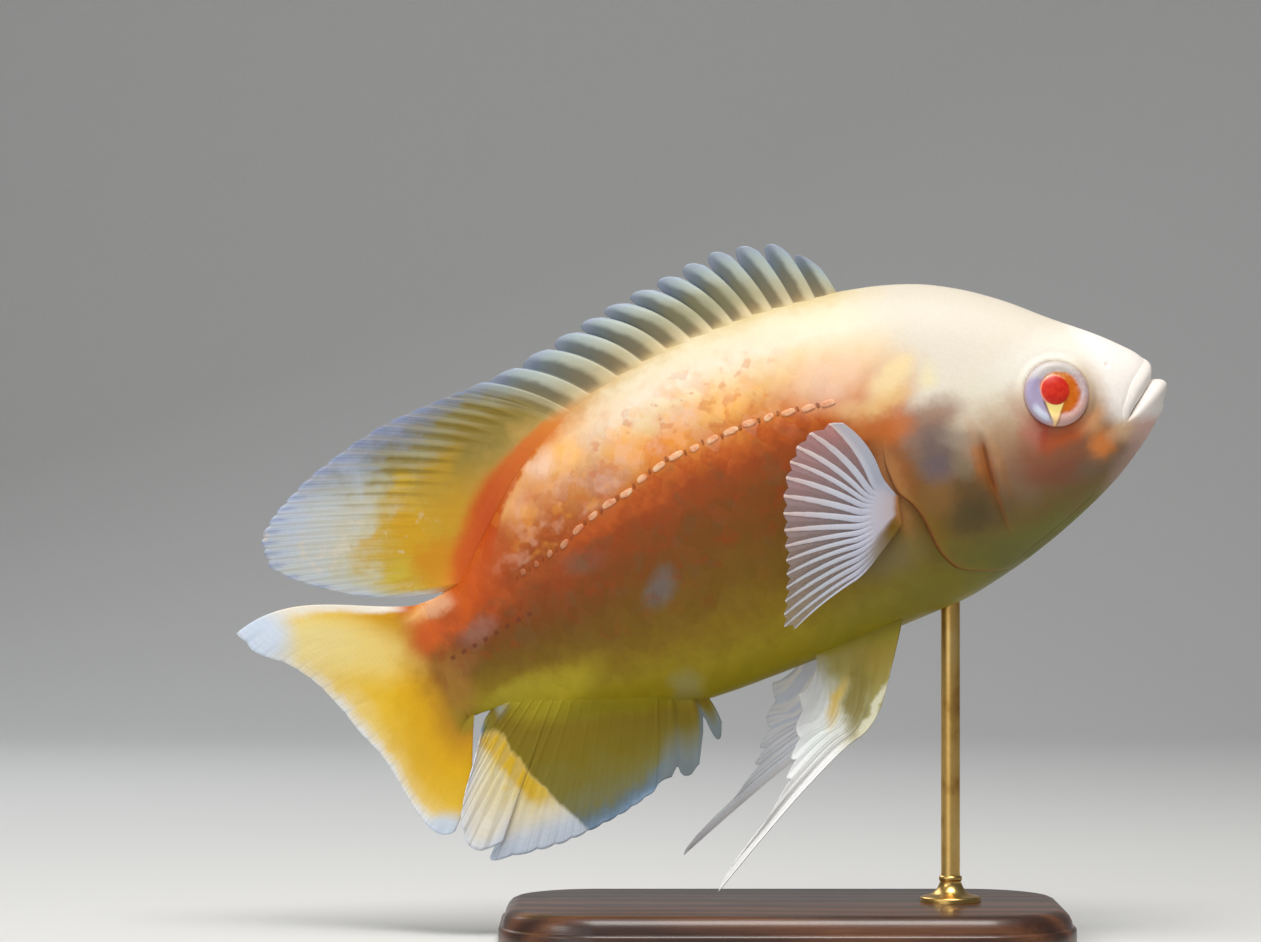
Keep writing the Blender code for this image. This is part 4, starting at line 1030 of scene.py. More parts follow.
# %% Paint of the scales
def scale_paint():
    """The skin's markings with each scale's own tone and tint, and growth rings as a bump."""
    p = Paint("oscar scales", coat_roughness=0.3, specular_ior_level=0.22)
    s, h, y = fish_place(p)
    colour = markings(p, s, h, y)
    tone, tint = p.field("tone"), p.field("tint")
    edge, across = p.field("free_edge"), p.field("across")
    on_flank = p.step(s, 66.0, 92.0) * p.step(h, 50.0, 36.0)
    colour = p.shade(colour, 1.0 + (tone - 0.5) * 0.09 * on_flank)
    pink = p.step(tint, 0.74, 0.86) * p.step(h, 18.0, 28.0) * p.step(s, 178.0, 160.0) * on_flank * 0.16
    colour = p.lay(pink, colour, 232, 184, 156)
    golden = p.step(tint, 0.28, 0.16) * p.step(h, 16.0, 28.0) * on_flank * 0.16
    colour = p.lay(golden, colour, 236, 160, 56)
    rusty = p.step(tint, 0.4, 0.3) * p.step(h, 26.0, 14.0) * p.step(h, -6.0, 6.0) * on_flank * 0.14
    colour = p.lay(rusty, colour, 158, 56, 6)
    ring_wave = p.math("SINE", edge * 46 + across * across * 7)
    fan_wave = p.math("SINE", across * 30) * p.step(edge, 0.9, 0.3)
    speckle = p.noise(p.vector(s, h, y), 1.6, 2.0, 0.6)
    height = ring_wave * 0.3 + fan_wave * 0.3 + speckle
    return p.wire(
        base_color=colour,
        roughness=0.4 + speckle * 0.18,
        coat_weight=0.04 + tone * 0.08,
        normal=p.bump(height, 0.08, 0.0003),
    )


# %% Lay the scales
scales_material = scale_paint()
for word, side, seed in (("right", -1.0, 11), ("left", 1.0, 12)):
    points, faces, fields, uv = scale_mesh(placed, side, seed)
    make_piece(f"scales_{word}", points, faces, scales_material, (), fields, {"OFBake": uv},
               crease=50)

# %% [markdown]
# ## The lateral line
#
# Along each flank runs a row of pored scales, which a fish feels the water's movement with. On this one they
# show as pale raised dashes with a dark notch between them. Each dash is a small bent grain: a half sine
# along it and across it, set on its scale.

# %% Dashes of the lateral line
def dash_mesh(s, h, length, width, tall, side, seed):
    """Grains of a half sine's height, each a closed grid that is drawn in under the skin at its rim."""
    rng = np.random.default_rng(seed)
    number, steps, round_steps = len(s), 13, 9
    t = np.linspace(-1, 1, steps)[None, :, None]
    v = np.linspace(-1, 1, round_steps)[None, None, :]
    slope = (lateral_line(s + 1) - lateral_line(s - 1)) / 2 * 0.6
    size = rng.uniform(0.72, 1.12, number)[:, None, None]
    taper = np.sqrt(np.clip(1 - t**2 * 0.96, 0, 1))
    along = length[:, None, None] / 2 * size * t
    bent = 0.12 * np.sin(t * 2.2 + rng.uniform(0, 6, number)[:, None, None])
    across = width / 2 * v * taper + bent
    at_s = s[:, None, None] + along
    at_h = (h + rng.uniform(-0.35, 0.35, number))[:, None, None] + slope[:, None, None] * along + across
    height = tall * size * taper * np.sqrt(np.clip(1 - v**2, 0, 1)) - 0.05
    rim = (np.abs(v) > 0.99) | (np.abs(t) > 0.99)
    height = np.where(rim, -0.45, height)
    angle = angle_at(at_s, at_h)
    top = raised(at_s, angle, side, height + body_relief(at_s, angle))
    middle = raised(s, angle_at(s, h), side, np.full(number, -1.0))
    return shells(top, middle)


def dash_paint(name, dark, mid, light):
    """Three mottled tones, let down into the skin's own colour towards the tail."""
    p = Paint(name, roughness=0.45, coat_roughness=0.25, specular_ior_level=0.25)
    s, h, y = fish_place(p)
    patch = p.noise(p.vector(s, h, y), 0.4, 3.0, 0.65)
    colour = p.ramp(patch, (0.3, *dark), (0.5, *mid), (0.7, *light))
    faded = 0.3 + p.step(s, 140.0, 176.0) * 0.55
    colour = p.blend(faded, colour, markings(p, s, h, y, (76, 178, 8, 32)))
    fine = p.noise(p.vector(s, h, y), 2.4, 2.0)
    return p.wire(base_color=colour, coat_weight=0.15 + fine * 0.1, normal=p.bump(fine, 0.15, 0.0003))


pored = placed[(placed[:, 2] == 0) & (placed[:, 0] > 78) & (placed[:, 0] < 174)]
dashes_material = dash_paint("lateral line", (214, 136, 96), (242, 186, 144), (250, 220, 176))
notch_material = dash_paint("notches of the lateral line", (104, 44, 16), (128, 62, 26), (160, 88, 46))
for word, side, seed in (("right", -1.0, 21), ("left", 1.0, 22)):
    s, pitch = pored[:, 0] + 0.2, pored[:, 3]
    shrink = 1 - 0.5 * ease(s, 150, 174)
    points, faces = dash_mesh(s, lateral_line(s) + 0.3, pitch * 0.78 * shrink, 2.1, 0.16, side, seed)
    make_piece(f"lateral_line_{word}", points, faces, dashes_material)
    s = s + pitch / 2
    points, faces = dash_mesh(s, lateral_line(s) + 0.5, 0.8 * shrink, 1.7, 0.12, side, seed + 10)
    make_piece(f"lateral_notches_{word}", points, faces, notch_material)

# %% [markdown]
# ## Eyes
#
# The eye is what one looks at first. It is a body of revolution round an axis that points out of the head: a
# greyish rim of skin, a moat, a sloping iris and the lens that stands out of the pupil as a red ball. A
# clear coat over the iris gives the wet highlight. The pale wedge below the pupil is the gap that it leaves
# beside the lens.


# %% The eye's frame
def eye_frame(side):
    """The middle of the eye's opening on the head, and three axes: ahead, up and out."""
    angle = angle_at(np.array(EYE_S), np.array(EYE_H))
    place = section(np.array(EYE_S), angle, side)
    out = outward(np.array(EYE_S), angle, np.array(side))
    ahead = np.cross(np.cross(out, np.array([-1.0, 0.0, 0.0])), out)
    ahead /= np.linalg.norm(ahead)
    up = np.cross(ahead, out) * side
    return place, ahead, up, out


EYE_TURNS = 96
EYE_RINGS = 76

# Radius and height over the head of the eyeball's profile, from its middle outwards
eyeball_profile = (
    (0.0, 2.6), (1.0, 2.56), (2.0, 2.44), (3.0, 2.16), (3.6, 1.92), (3.78, 1.8), (3.95, 1.72), (4.4, 1.64),
    (5.0, 1.54), (5.5, 1.48), (5.9, 1.5), (6.4, 1.6), (6.9, 1.64), (7.5, 1.5), (8.0, 1.2), (8.4, 0.75),
    (8.6, 0.2), (8.6, -0.8), (8.3, -2.2),
)

# How far ahead of and above the eye's middle the ring of each radius is centred
centre_ahead = smooth((0, -0.5), (3.8, -0.5), (5.4, 0.5), (6.8, 0.1), (8.6, 0))
centre_up = smooth((0, 0.8), (3.8, 0.8), (5.6, 0), (8.6, 0))


def eye_paint(side):
    """Red pupil with a thin orange halo, orange iris, and a lavender rim with a painted highlight on its
    lower rear. The field 'ring' is the profile's radius, and the two others give the place ahead of and
    above the eye's middle."""
    word = "right" if side < 0 else "left"
    p = Paint(f"eye {word}", coat_roughness=0.12, specular_ior_level=0.3)
    ring, ahead, up = p.field("ring"), p.field("eye_ahead"), p.field("eye_up")
    place = p.vector(ahead, up, 0.0)
    mottle = p.noise(place, 0.6, 3.0, 0.55)
    fine = p.noise(place, 1.8, 3.0, 0.6)
    turn = p.math("ARCTAN2", up - 0.4, ahead - 0.3)
    streak = p.noise(p.vector(turn * 3.0, ring * 0.6, 0.0), 1.4, 3.0, 0.6)
    iris = p.ramp(streak * 0.5 + mottle * 0.5, (0.3, 184, 92, 12), (0.5, 206, 102, 20),
                  (0.7, 226, 128, 44))
    iris = p.lay(p.step(up, 1.5, 4.6) * p.step(fine, 0.35, 0.65) * 0.7, iris, 236, 176, 110)
    specks = p.step(ring, 4.3, 5.0) * p.step(up + mottle * 2, 4.2, 5.6) * p.step(fine, 0.46, 0.56)
    iris = p.lay(specks * 0.8, iris, 140, 100, 60)
    rim = p.blend(p.step(mottle * 0.6 + fine * 0.4, 0.35, 0.65), rgb(186, 158, 158), rgb(206, 188, 190))
    rear = p.step(ahead * 0.9 - up * 0.25 + mottle * 2.4, 0.4, -3.4)
    rim = p.lay(rear * 0.85, rim, 166, 156, 194)
    # Painted highlight: a bluish white crescent low on the rear of the rim.
    painted_highlight = p.near(ring, 7.3, 1.3) * p.step(up - ahead * 0.2, 1.6, -1.0) * p.step(up, -8.0, -5.5)
    rim = p.lay(rear * painted_highlight * 0.85, rim, 222, 230, 246)
    rim = p.lay(p.step(up + ahead * 0.2 + mottle * 2, 4.6, 7.0) * 0.7, rim, 212, 210, 202)
    rim = p.lay(p.step(up - ahead * 0.3 - mottle, -4.8, -7.4) * 0.7, rim, 218, 166, 152)
    iris = p.blend(p.step(ahead, -3.7, -4.4), iris, rim)
    colour = p.blend(p.step(ring + mottle * 0.9 - p.step(up, 0.0, -5.0) * 0.3, 5.2, 6.6), iris, rim)
    colour = p.lay(p.step(ring, 8.0, 8.6) * 0.5, colour, 206, 176, 164)
    left = ahead + 4.0
    right = up - ahead * 1.17 + 3.46
    below = p.step(up, 0.0, -1.0) * p.step(ring, 3.8, 3.95)
    wedge = p.step(left, -0.2, 0.2) * p.step(right, -0.35, 0.35) * below
    beside = p.near(left, -0.35, 0.5) * p.step(up, -7.0, -5.0) * below
    colour = p.lay(beside * 0.7, colour, 122, 92, 62)
    ahead_of_it = p.near(right, -0.3, 0.9) * p.step(left, 0.0, 0.6) * below
    colour = p.lay(ahead_of_it * 0.6, colour, 170, 106, 20)
    yellow = p.blend(p.step(up + mottle, -3.2, -5.6), rgb(254, 232, 144), rgb(252, 214, 150))
    colour = p.blend(wedge, colour, yellow)
    red = p.blend(p.step(mottle, 0.35, 0.65), rgb(200, 34, 22), rgb(214, 52, 28))
    colour = p.blend(p.step(ring, 3.84, 3.68), colour, red)
    halo = p.near(ring, 3.95, 0.45) * p.step(ahead - up * 0.7, 1.0, -1.5) * p.step(up, -2.6, -0.6)
    colour = p.lay(halo * 0.85, colour, 240, 152, 128)
    outside = p.step(ring, 5.2, 6.2)
    in_iris = p.step(ring, 3.7, 4.1) - outside
    return p.wire(base_color=colour, roughness=0.42 - in_iris * 0.12, coat_weight=0.06 + in_iris * 0.3,
                  normal=p.bump(streak + mottle, 0.08, 0.0003))


# %% Make both eyes
def make_eye(side):
    """The profile, made dense and smooth, turned round the eye's axis. Each ring has its own centre, because
    the pupil and the iris sit a little ahead in the rim."""
    word = "right" if side < 0 else "left"
    place, ahead, up, out = eye_frame(side)
    profile = np.array(eyeball_profile)
    length = np.concatenate([[0], np.cumsum(np.hypot(*np.diff(profile, axis=0).T))])
    dense = np.linspace(0, length[-1], EYE_RINGS)
    radius, height = np.interp(dense, length, profile[:, 0]), np.interp(dense, length, profile[:, 1])
    height = np.convolve(np.pad(height, 2, mode="edge"), [0.1, 0.2, 0.4, 0.2, 0.1], "valid")
    turn = np.linspace(0, 2 * np.pi, EYE_TURNS, endpoint=False)
    x = radius[:, None] * np.cos(turn) + centre_ahead(radius)[:, None]
    z = radius[:, None] * np.sin(turn) + centre_up(radius)[:, None]
    rings = place + x[..., None] * ahead + z[..., None] * up + height[:, None, None] * out
    middle, back = rings[0, 0], place - out * 2.4
    groups = tube_faces(len(dense) - 1, EYE_TURNS)
    places = np.concatenate([rings[1:].reshape(-1, 3), middle[None], back[None]])
    fields = {
        "ring": np.concatenate([np.repeat(radius[1:], EYE_TURNS), [0, 9]]),
        "eye_ahead": np.concatenate([x[1:].ravel(), [x[0, 0], 0]]),
        "eye_up": np.concatenate([z[1:].ravel(), [z[0, 0], 0]]),
    }
    return make_piece(f"eye_{word}_ball", room(places), groups, eye_paint(side), (f"eye_{word}",),
                      fields)


for side in (-1.0, 1.0):
    make_eye(side)

# %% [markdown]
# ## Fins
#
# A fin is a thin membrane stretched over rays. Its middle surface is a grid: one number counts along the
# rays and the other runs from a ray's root to its tip. Each ray goes from its root on the body to its tip on
# the fin's outline along a slightly bowed path. The thickness then makes the relief: thick on a ray, thin
# between two, and each soft ray forks on its way out. Both faces and the rim close into one solid.


# %% The sheet of a fin
def upright(s, h):
    """Places in the fish's middle plane."""
    return np.stack([s, h, 0 * s], axis=-1)


def bowed(column, row, root, tip, bow, edge, late=1):
    """Middle places of a fin. Each column runs from root to tip, cut off at its share edge, and is pushed to
    its front side by bow times a hump that is highest at late / (late + 1) of the way."""
    share = row[:, None] * edge[None, :]
    reach = tip - root
    flat = reach / np.linalg.norm(reach, axis=-1, keepdims=True)
    front = np.stack([-flat[:, 1], flat[:, 0], np.zeros(len(column))], axis=-1)
    bent = share**late * (1 - share) * (late + 1) ** (late + 1) / late**late
    return root + share[..., None] * reach + bent[..., None] * (bow[:, None] * front)


def forked(column, row, soft):
    """Height of the rays' relief, from nothing to one: a rounded ridge on each whole column number. Where
    soft is one, a ray parts into two branches from a third of its length on, and into four near its end."""
    off = column - np.round(column)
    first = ease(row, 0.3, 0.62)[:, None] * soft[None, :] * 0.21
    second = ease(row, 0.66, 0.95)[:, None] * soft[None, :] * 0.1
    from_branch = np.abs(np.abs(off)[None, :] - first)
    from_twig = np.abs(from_branch - second)
    width = 0.16 - 0.06 * row[:, None] * soft[None, :]
    ridge = np.clip(1 - (from_twig / width) ** 2, 0, 1)
    return np.sqrt(ridge)


def fin_piece(node, mid, thick, column, row, material, extra):
    """A closed sheet round a grid of middle places: both faces lie half the thickness off along the grid's
    normal, and a rim of quads joins them. The fields 'ray' and 'reach' hold the ray's number and the share
    of its length."""
    along, out = np.gradient(mid, axis=1), np.gradient(mid, axis=0)
    normal = np.cross(along, out)
    normal /= np.maximum(np.linalg.norm(normal, axis=-1, keepdims=True), 1e-9)
    near = mid + normal * thick[..., None] / 2
    far = mid - normal * thick[..., None] / 2
    rows, columns = thick.shape
    total = rows * columns
    first = grid_quads(rows, columns)
    rim = grid_rim(rows, columns)
    after = np.roll(rim, -1)
    edge = np.stack([after, rim, rim + total, after + total], axis=-1)
    places = np.concatenate([near.reshape(-1, 3), far.reshape(-1, 3)])
    ray = np.stack(np.broadcast_arrays(column[None, :], row[:, None]), axis=-1).reshape(-1, 2)
    fields = {"ray": np.tile(ray[:, 0], 2), "reach": np.tile(ray[:, 1], 2)}
    for key, values in extra.items():
        fields[key] = np.tile(np.ravel(values), 2)
    groups = [first, first[:, ::-1] + total, edge]
    return make_piece(f"{node}_sheet", room(places), groups, material, (node,), fields)


def fine_columns(first, last, between):
    """Column numbers, some for each ray."""
    return np.linspace(first, last, int((last - first) * between) + 1)


def deeper(root, tip):
    """Roots drawn back along their rays, further into the body."""
    reach = tip - root
    return root - 2 * reach / np.linalg.norm(reach, axis=-1, keepdims=True)


def flare(mid, edge_line, up):
    """Thickness where a fin grows out of the body: under the body's edge it is as wide as the body. Over the
    edge it falls off with e, as fast as the body narrows there, so that the two surfaces meet without a
    crease."""
    s, h = mid[..., 0], mid[..., 1]
    edge, deep, step = edge_line(s), 1.5, 0.5

    def wide(level):
        return section(s, angle_at(s, level), 1.0)[..., 2]

    over = (h - edge) * up
    start = wide(edge - up * deep)
    fall = start * step / np.maximum(wide(edge - up * (deep + step)) - start, 0.15)
    half = np.where(over > -deep, start * np.exp(-(over + deep) / fall), wide(h))
    sunk = 1.6 * ease(-over, deep - 0.6, deep + 1.0)
    return np.maximum(2 * half + 0.1 * bell(over, -deep, 3) - sunk, 0)


# %% [markdown]
# Fins share one way of painting. Each paint starts from the same numbers: the place in the fish's frame, the
# number of the ray, the share of its length and the height of its ridge. It then lays its own colours, and
# one last step adds the joints of the soft rays, the roots that take on the skin's markings, and a fine
# bump.


# %% What all fin paints share
class FinPaint(Paint):
    """A paint with the numbers that every fin starts from."""

    def __init__(self, name, root_part):
        super().__init__(name, coat_roughness=0.3, specular_ior_level=0.22)
        self.root_part = root_part
        self.s, self.h, self.y = fish_place(self)
        self.place = self.vector(self.s, self.h, self.y)
        self.reach, self.ridge, self.number = self.field("reach"), self.field("ridge"), self.field("ray")
        self.cloud = self.noise(self.place, 0.13, 3.0, 0.6) - 0.5
        self.streak = self.noise(self.vector(self.number * 1.3, self.reach * 4.0, 0.0), 1.0, 3.0, 0.6) - 0.5

    def finish(self, colour, alpha, joints_per_ray, root=0.1, soft=1.0):
        """Skin markings up to the share root of each ray, joints across the soft rays, and the shader's
        sockets."""
        at_root = self.step(self.reach + self.cloud * 0.1, root, root * 0.2)
        colour = self.blend(at_root, colour, markings(self, self.s, self.h, self.y, self.root_part))
        beat = self.math("SINE", self.reach * (joints_per_ray * 2 * math.pi) + self.number)
        joints = self.step(beat, 0.4, 0.95) * self.step(self.reach, 0.15, 0.3) * self.ridge * soft
        colour = self.shade(colour, 1.0 + self.streak * 0.1 - joints * 0.03)
        grain = self.noise(self.place, 1.3, 3.0, 0.6)
        relief = self.bump(grain * 0.4 - joints * 0.4, 0.14, 0.0003)
        return self.wire(base_color=colour, alpha=alpha, roughness=0.42 + grain * 0.16,
                         coat_weight=grain * 0.12, normal=relief)


# %% [markdown]
# ### Dorsal fin
#
# The front of the long fin on the back is spiny: stiff spines, each with a rounded lobe of web behind its
# tip, like a row of fingers. Behind them soft rays make one broad lobe that lies back over the tail.

# %% Outline of the dorsal fin
SPINES = 12
DORSAL_RAYS = 32
dorsal_root_s = smooth((0, 69.9), (3, 87.5), (6, 104.3), (8, 117.5), (10, 132), (12, 147), (20, 167),
                       (24, 176.5), (28, 185.5), (30, 189.3), (32, 192.2))
dorsal_tip = smooth(
    (0, 71.6, 60), (0.35, 74, 63), (1.35, 81, 69.6), (2.35, 88.5, 71.9), (3.35, 96.3, 73.2),
    (5.35, 111.5, 71.7), (7.35, 127.3, 69.8), (9.35, 142, 67), (11.35, 160, 64), (12, 165.5, 63.7),
    (16, 190, 63), (20, 215, 57.7), (22, 224, 53.9), (24, 230.8, 50.2), (26, 235.3, 45.4), (28, 235.7, 39),
    (29, 232.4, 34.6), (30, 226, 29.4), (31, 215.5, 22.6), (32, 204, 18),
)
dorsal_bow = smooth((0, 0.3), (3, 1.0), (7, 2.2), (12, 1.6), (20, 0.8), (28, 1.2), (32, -0.4))
lobe_reach = smooth((0, 0.88), (0.14, 0.97), (0.34, 1.0), (0.58, 0.97), (0.8, 0.87), (0.93, 0.75), (1, 0.7))
lobe_roll = smooth((0, 0.5), (0.1, 0.85), (0.25, 1.0), (0.5, 0.75), (0.8, 0.3), (0.93, 0.06), (1, 0.0))
ROOT_SUNK = 1.2


# %% Make the dorsal fin
def make_dorsal_fin():
    """Spines and soft rays in one sheet. A spine's lobe is cut by the curve lobe_reach between two spines,
    and a soft ray's end stands a little proud of the web."""
    spiny = np.concatenate([n + np.linspace(0, 0.97, 18) for n in range(SPINES)])
    soft_columns = fine_columns(SPINES, DORSAL_RAYS, 14)
    column = np.concatenate([spiny, soft_columns])
    row = np.linspace(0, 1, 46) ** 0.9
    tied = smooth((0, 0), (8, 0.1), (12, 0.75), (14, 1), (32, 1))(column)
    off = np.abs(column - np.round(column)) * 2
    edge = lobe_reach(column - np.floor(column)) * (1 - tied) + tied * (1 - 0.014 * off**2)
    s = dorsal_root_s(column)
    root = upright(s, back_line(s) - ROOT_SUNK)
    tip = upright(*dorsal_tip(column))
    mid = bowed(column, row, deeper(root, tip), tip, dorsal_bow(column), edge)
    mid[..., 2] += 1.6 * row[:, None] ** 2 * np.sin(column / 5)[None, :]
    soft = ease(column, 11, 14)
    roll = lobe_roll(column - np.floor(column)) * (1 - soft)
    relief = forked(column, row, soft) * soft[None, :] + roll[None, :] * np.ones((len(row), 1))
    ridge_height = smooth((0, 1.5), (8, 1.5), (12, 0.7), (15, 0.12), (32, 0.1))(column)
    relief = relief * (1 - soft[None, :] * ease(row, 0.5, 0.2)[:, None])
    fleshy = flare(mid, back_line, 1.0) * smooth((0, 0.04), (1, 0.5), (11, 0.6), (14, 1), (31, 1),
                                                 (32, 0.2))(column)
    thin = 1 - (0.3 + 0.25 * soft[None, :]) * row[:, None] ** 1.5
    thick = (0.4 + ridge_height[None, :] * relief) * thin + fleshy
    extra = {"ridge": relief, "soft": np.broadcast_to(soft[None, :], thick.shape)}
    return fin_piece("dorsal_fin", mid, thick, column, row, dorsal_paint(), extra)


# Gold at the rear of the soft lobe's root and the pale middle of the lobe, as patches like the skin's
DORSAL_PATCHES = (
    (184, 47, 7, 3.5, -25, 0.7, 0.6, 188, 146, 30),
    (216, 40, 10, 8, -20, 0.8, 0.5, 206, 206, 198),
    (198, 34, 4.5, 8, 10, 0.6, 0.85, 208, 158, 22),
    (207, 36, 4, 1.6, -20, 0.6, 0.7, 206, 162, 30),
    (194, 46, 3, 2, -20, 0.6, 0.8, 206, 168, 28),
    (193, 24, 6, 6, 0, 0.6, 0.85, 206, 138, 16),
    (205, 25, 5, 3, -20, 0.7, 0.6, 204, 182, 56),
)


def dorsal_paint():
    """In front each lobe is pale over its spine and dusky olive behind it, which is partly painted shade in
    the gap to the next lobe, with a grey tip. The soft lobe is olive cream in front and gold behind, with
    dusky streaks between its rays, and fades to bluish white at its margin."""
    p = FinPaint("dorsal fin", (66, 200, 12, 60))
    s, h, reach, number, cloud, streak = p.s, p.h, p.reach, p.number, p.cloud, p.streak
    share = p.math("FRACT", number)
    pale = p.ramp(reach + cloud * 0.3, (0.0, 214, 190, 142), (0.28, 184, 174, 140),
                  (0.6, 178, 184, 170), (0.85, 162, 176, 178), (1.0, 160, 172, 190))
    dusky = p.ramp(reach + cloud * 0.3, (0.0, 180, 150, 98), (0.25, 124, 112, 84),
                   (0.6, 108, 110, 98), (0.85, 108, 120, 128), (1.0, 98, 108, 132))
    # Partly painted shade: the dusky side of each lobe stands in for the shade in the gap behind it.
    front = p.blend(p.step(share + streak * 0.3, 0.3, 0.58), pale, dusky)
    front = p.lay(p.step(reach, 0.82, 1.0) * 0.5, front, 156, 166, 180)
    front = p.lay(p.near(number, 5.5, 3.5) * p.near(reach, 0.45, 0.3) * 0.4, front, 132, 128, 82)
    far = reach + cloud * 0.5 + streak * 0.16
    far = far - p.step(s, 200.0, 160.0) * 0.1 - p.step(number, 24.0, 32.0) * 0.12
    gold = p.ramp(far, (0.0, 196, 146, 44), (0.2, 198, 152, 34), (0.42, 200, 166, 62),
                  (0.58, 198, 190, 150), (0.74, 194, 200, 200), (1.0, 188, 200, 222))
    olive = p.ramp(far, (0.0, 186, 150, 78), (0.2, 146, 126, 58), (0.45, 140, 120, 50),
                   (0.62, 138, 130, 86), (0.8, 124, 128, 136), (1.0, 142, 152, 180))
    rear = p.blend(p.step(number + cloud * 4, 17.0, 24.0), olive, gold)
    wave = p.math("SINE", number * (2 * math.pi) + 1.4 + streak * 2.0)
    rear = add_patches(p, rear, s + cloud * 8, h + cloud * 8 + streak * 2, DORSAL_PATCHES)
    streaks = p.step(wave, 0.1, 0.9) * p.step(reach, 0.3, 0.5) * p.step(far, 0.8, 0.6)
    rear = p.lay(streaks * p.step(number, 27.0, 18.0) * 0.65, rear, 120, 98, 22)
    bright = p.step(wave, -0.2, -0.9) * p.step(reach, 0.35, 0.6)
    rear = p.lay(bright * 0.2, rear, 214, 204, 176)
    spots = clouds(p, s, h, p.y, 30.0, 0.22, 0.6, 0.68) * p.near(number, 27.0, 5.0) * p.step(reach, 0.2,
                                                                                             0.35)
    rear = p.lay(spots * 0.5, rear, 222, 208, 190)
    ticks = p.step(wave, 0.2, 0.8) * p.step(reach, 0.9, 0.96) * 0.4
    rear = p.lay(ticks, rear, 124, 138, 176)
    rear = p.lay(p.step(number, 31.0, 31.9) * 0.6, rear, 200, 204, 214)
    from_band = h - p.line(s, 145.0, 195.0, *band_points) + cloud * 3
    orange = p.ramp(s, (146, 200, 130, 40), (160, 204, 110, 26), (176, 196, 82, 10),
                    (188, 208, 112, 10), (196, 214, 140, 20))
    high = 1.5 + p.step(s, 156.0, 182.0) * 5
    rear = p.blend(p.step(from_band / high, 1.6, 0.5) * p.step(s, 146.0, 156.0) * 0.95, rear, orange)
    colour = p.blend(p.field("soft"), front, rear)
    alpha = 0.98 - p.step(reach, 0.5, 1.0) * p.field("soft") * 0.25 * (1.0 - p.ridge)
    return p.finish(colour, alpha, 30.0, 0.18, p.field("soft"))


make_dorsal_fin()

# %% [markdown]
# ### Anal fin
#
# Under the tail stalk the anal fin mirrors the dorsal one. Two short spines with free lobes stand in front,
# and the rear end of its soft lobe is folded towards the viewer, which leaves a notch in its outline.

# %% Make the anal fin
ANAL_RAYS = 18
anal_root_s = smooth((0, 140.6), (1, 144.6), (2, 149.6), (3, 153), (18, 191.8))
anal_tip = smooth(
    (0, 139.2, -43.5), (0.4, 141.4, -46.8), (0.95, 145, -47), (1, 149, -51.4), (1.4, 152.6, -52.9),
    (1.95, 156.5, -52.5), (2, 158, -51.4), (3, 163, -53.6), (6, 176, -56.4), (9, 190, -57.5),
    (11, 200, -56.6), (12.4, 209.6, -54.5), (13, 204.6, -51.4), (13.5, 210, -51.9), (14.2, 213.5, -47.4),
    (15, 212.6, -42), (16, 209.4, -36.2), (17, 204.4, -29.6), (18, 199, -22.2),
)
anal_bow = smooth((0, -0.6), (1, -1.2), (3, -0.6), (12, 0), (18, 1.2))
anal_wave = smooth((0, 0), (6, 1.2), (11, 1.6), (12.4, 0.8), (13.5, -1.8), (15, -3), (18, -2.2))
anal_lobe = smooth((0, 0.94), (0.25, 1.0), (0.5, 0.98), (0.75, 0.82), (0.9, 0.5), (1, 0.5))
# The distance s, at each height, past which the fin is painted as lit; in front of it the fin is painted in
# the body's shadow
lit_edge_points = ((-60, 181), (-53, 184), (-44, 188.5), (-34, 192), (-24, 194.5), (-15, 196))


def make_anal_fin():
    """Lobes in front as on the dorsal fin, with the fold as a wave sideways that grows with the share of
    length."""
    lobes = [n + np.linspace(0, 0.97, 16) for n in range(3)]
    column = np.concatenate(lobes + [fine_columns(3, ANAL_RAYS, 16)])
    row = np.linspace(0, 1, 42) ** 0.9
    tied = smooth((0, 0), (0.9, 0), (1, 0.5), (1.9, 0.7), (2, 1), (18, 1))(column)
    off = np.abs(column - np.round(column)) * 2
    edge = anal_lobe(column - np.floor(column)) * (1 - tied) + tied * (1 - 0.014 * off**2)
    s = anal_root_s(column)
    root = upright(s, belly_line(s) + ROOT_SUNK)
    tip = upright(*anal_tip(column))
    mid = bowed(column, row, deeper(root, tip), tip, anal_bow(column), edge)
    mid[..., 2] += row[:, None] ** 2.6 * anal_wave(column)[None, :]
    soft = ease(column, 2, 4)
    relief = forked(column, row, soft)
    ridge_height = smooth((0, 1.0), (2, 0.7), (4, 0.08), (10, 0.1), (12, 0.3), (18, 0.34))(column)
    fleshy = flare(mid, belly_line, -1.0) * smooth((0, 0.05), (1.5, 0.6), (4, 1), (17, 1), (18, 0.2))(column)
    thick = (0.42 + ridge_height[None, :] * relief) * (1 - 0.55 * row[:, None] ** 1.5) + fleshy
    return fin_piece("anal_fin", mid, thick, column, row, anal_paint(), {"ridge": relief})


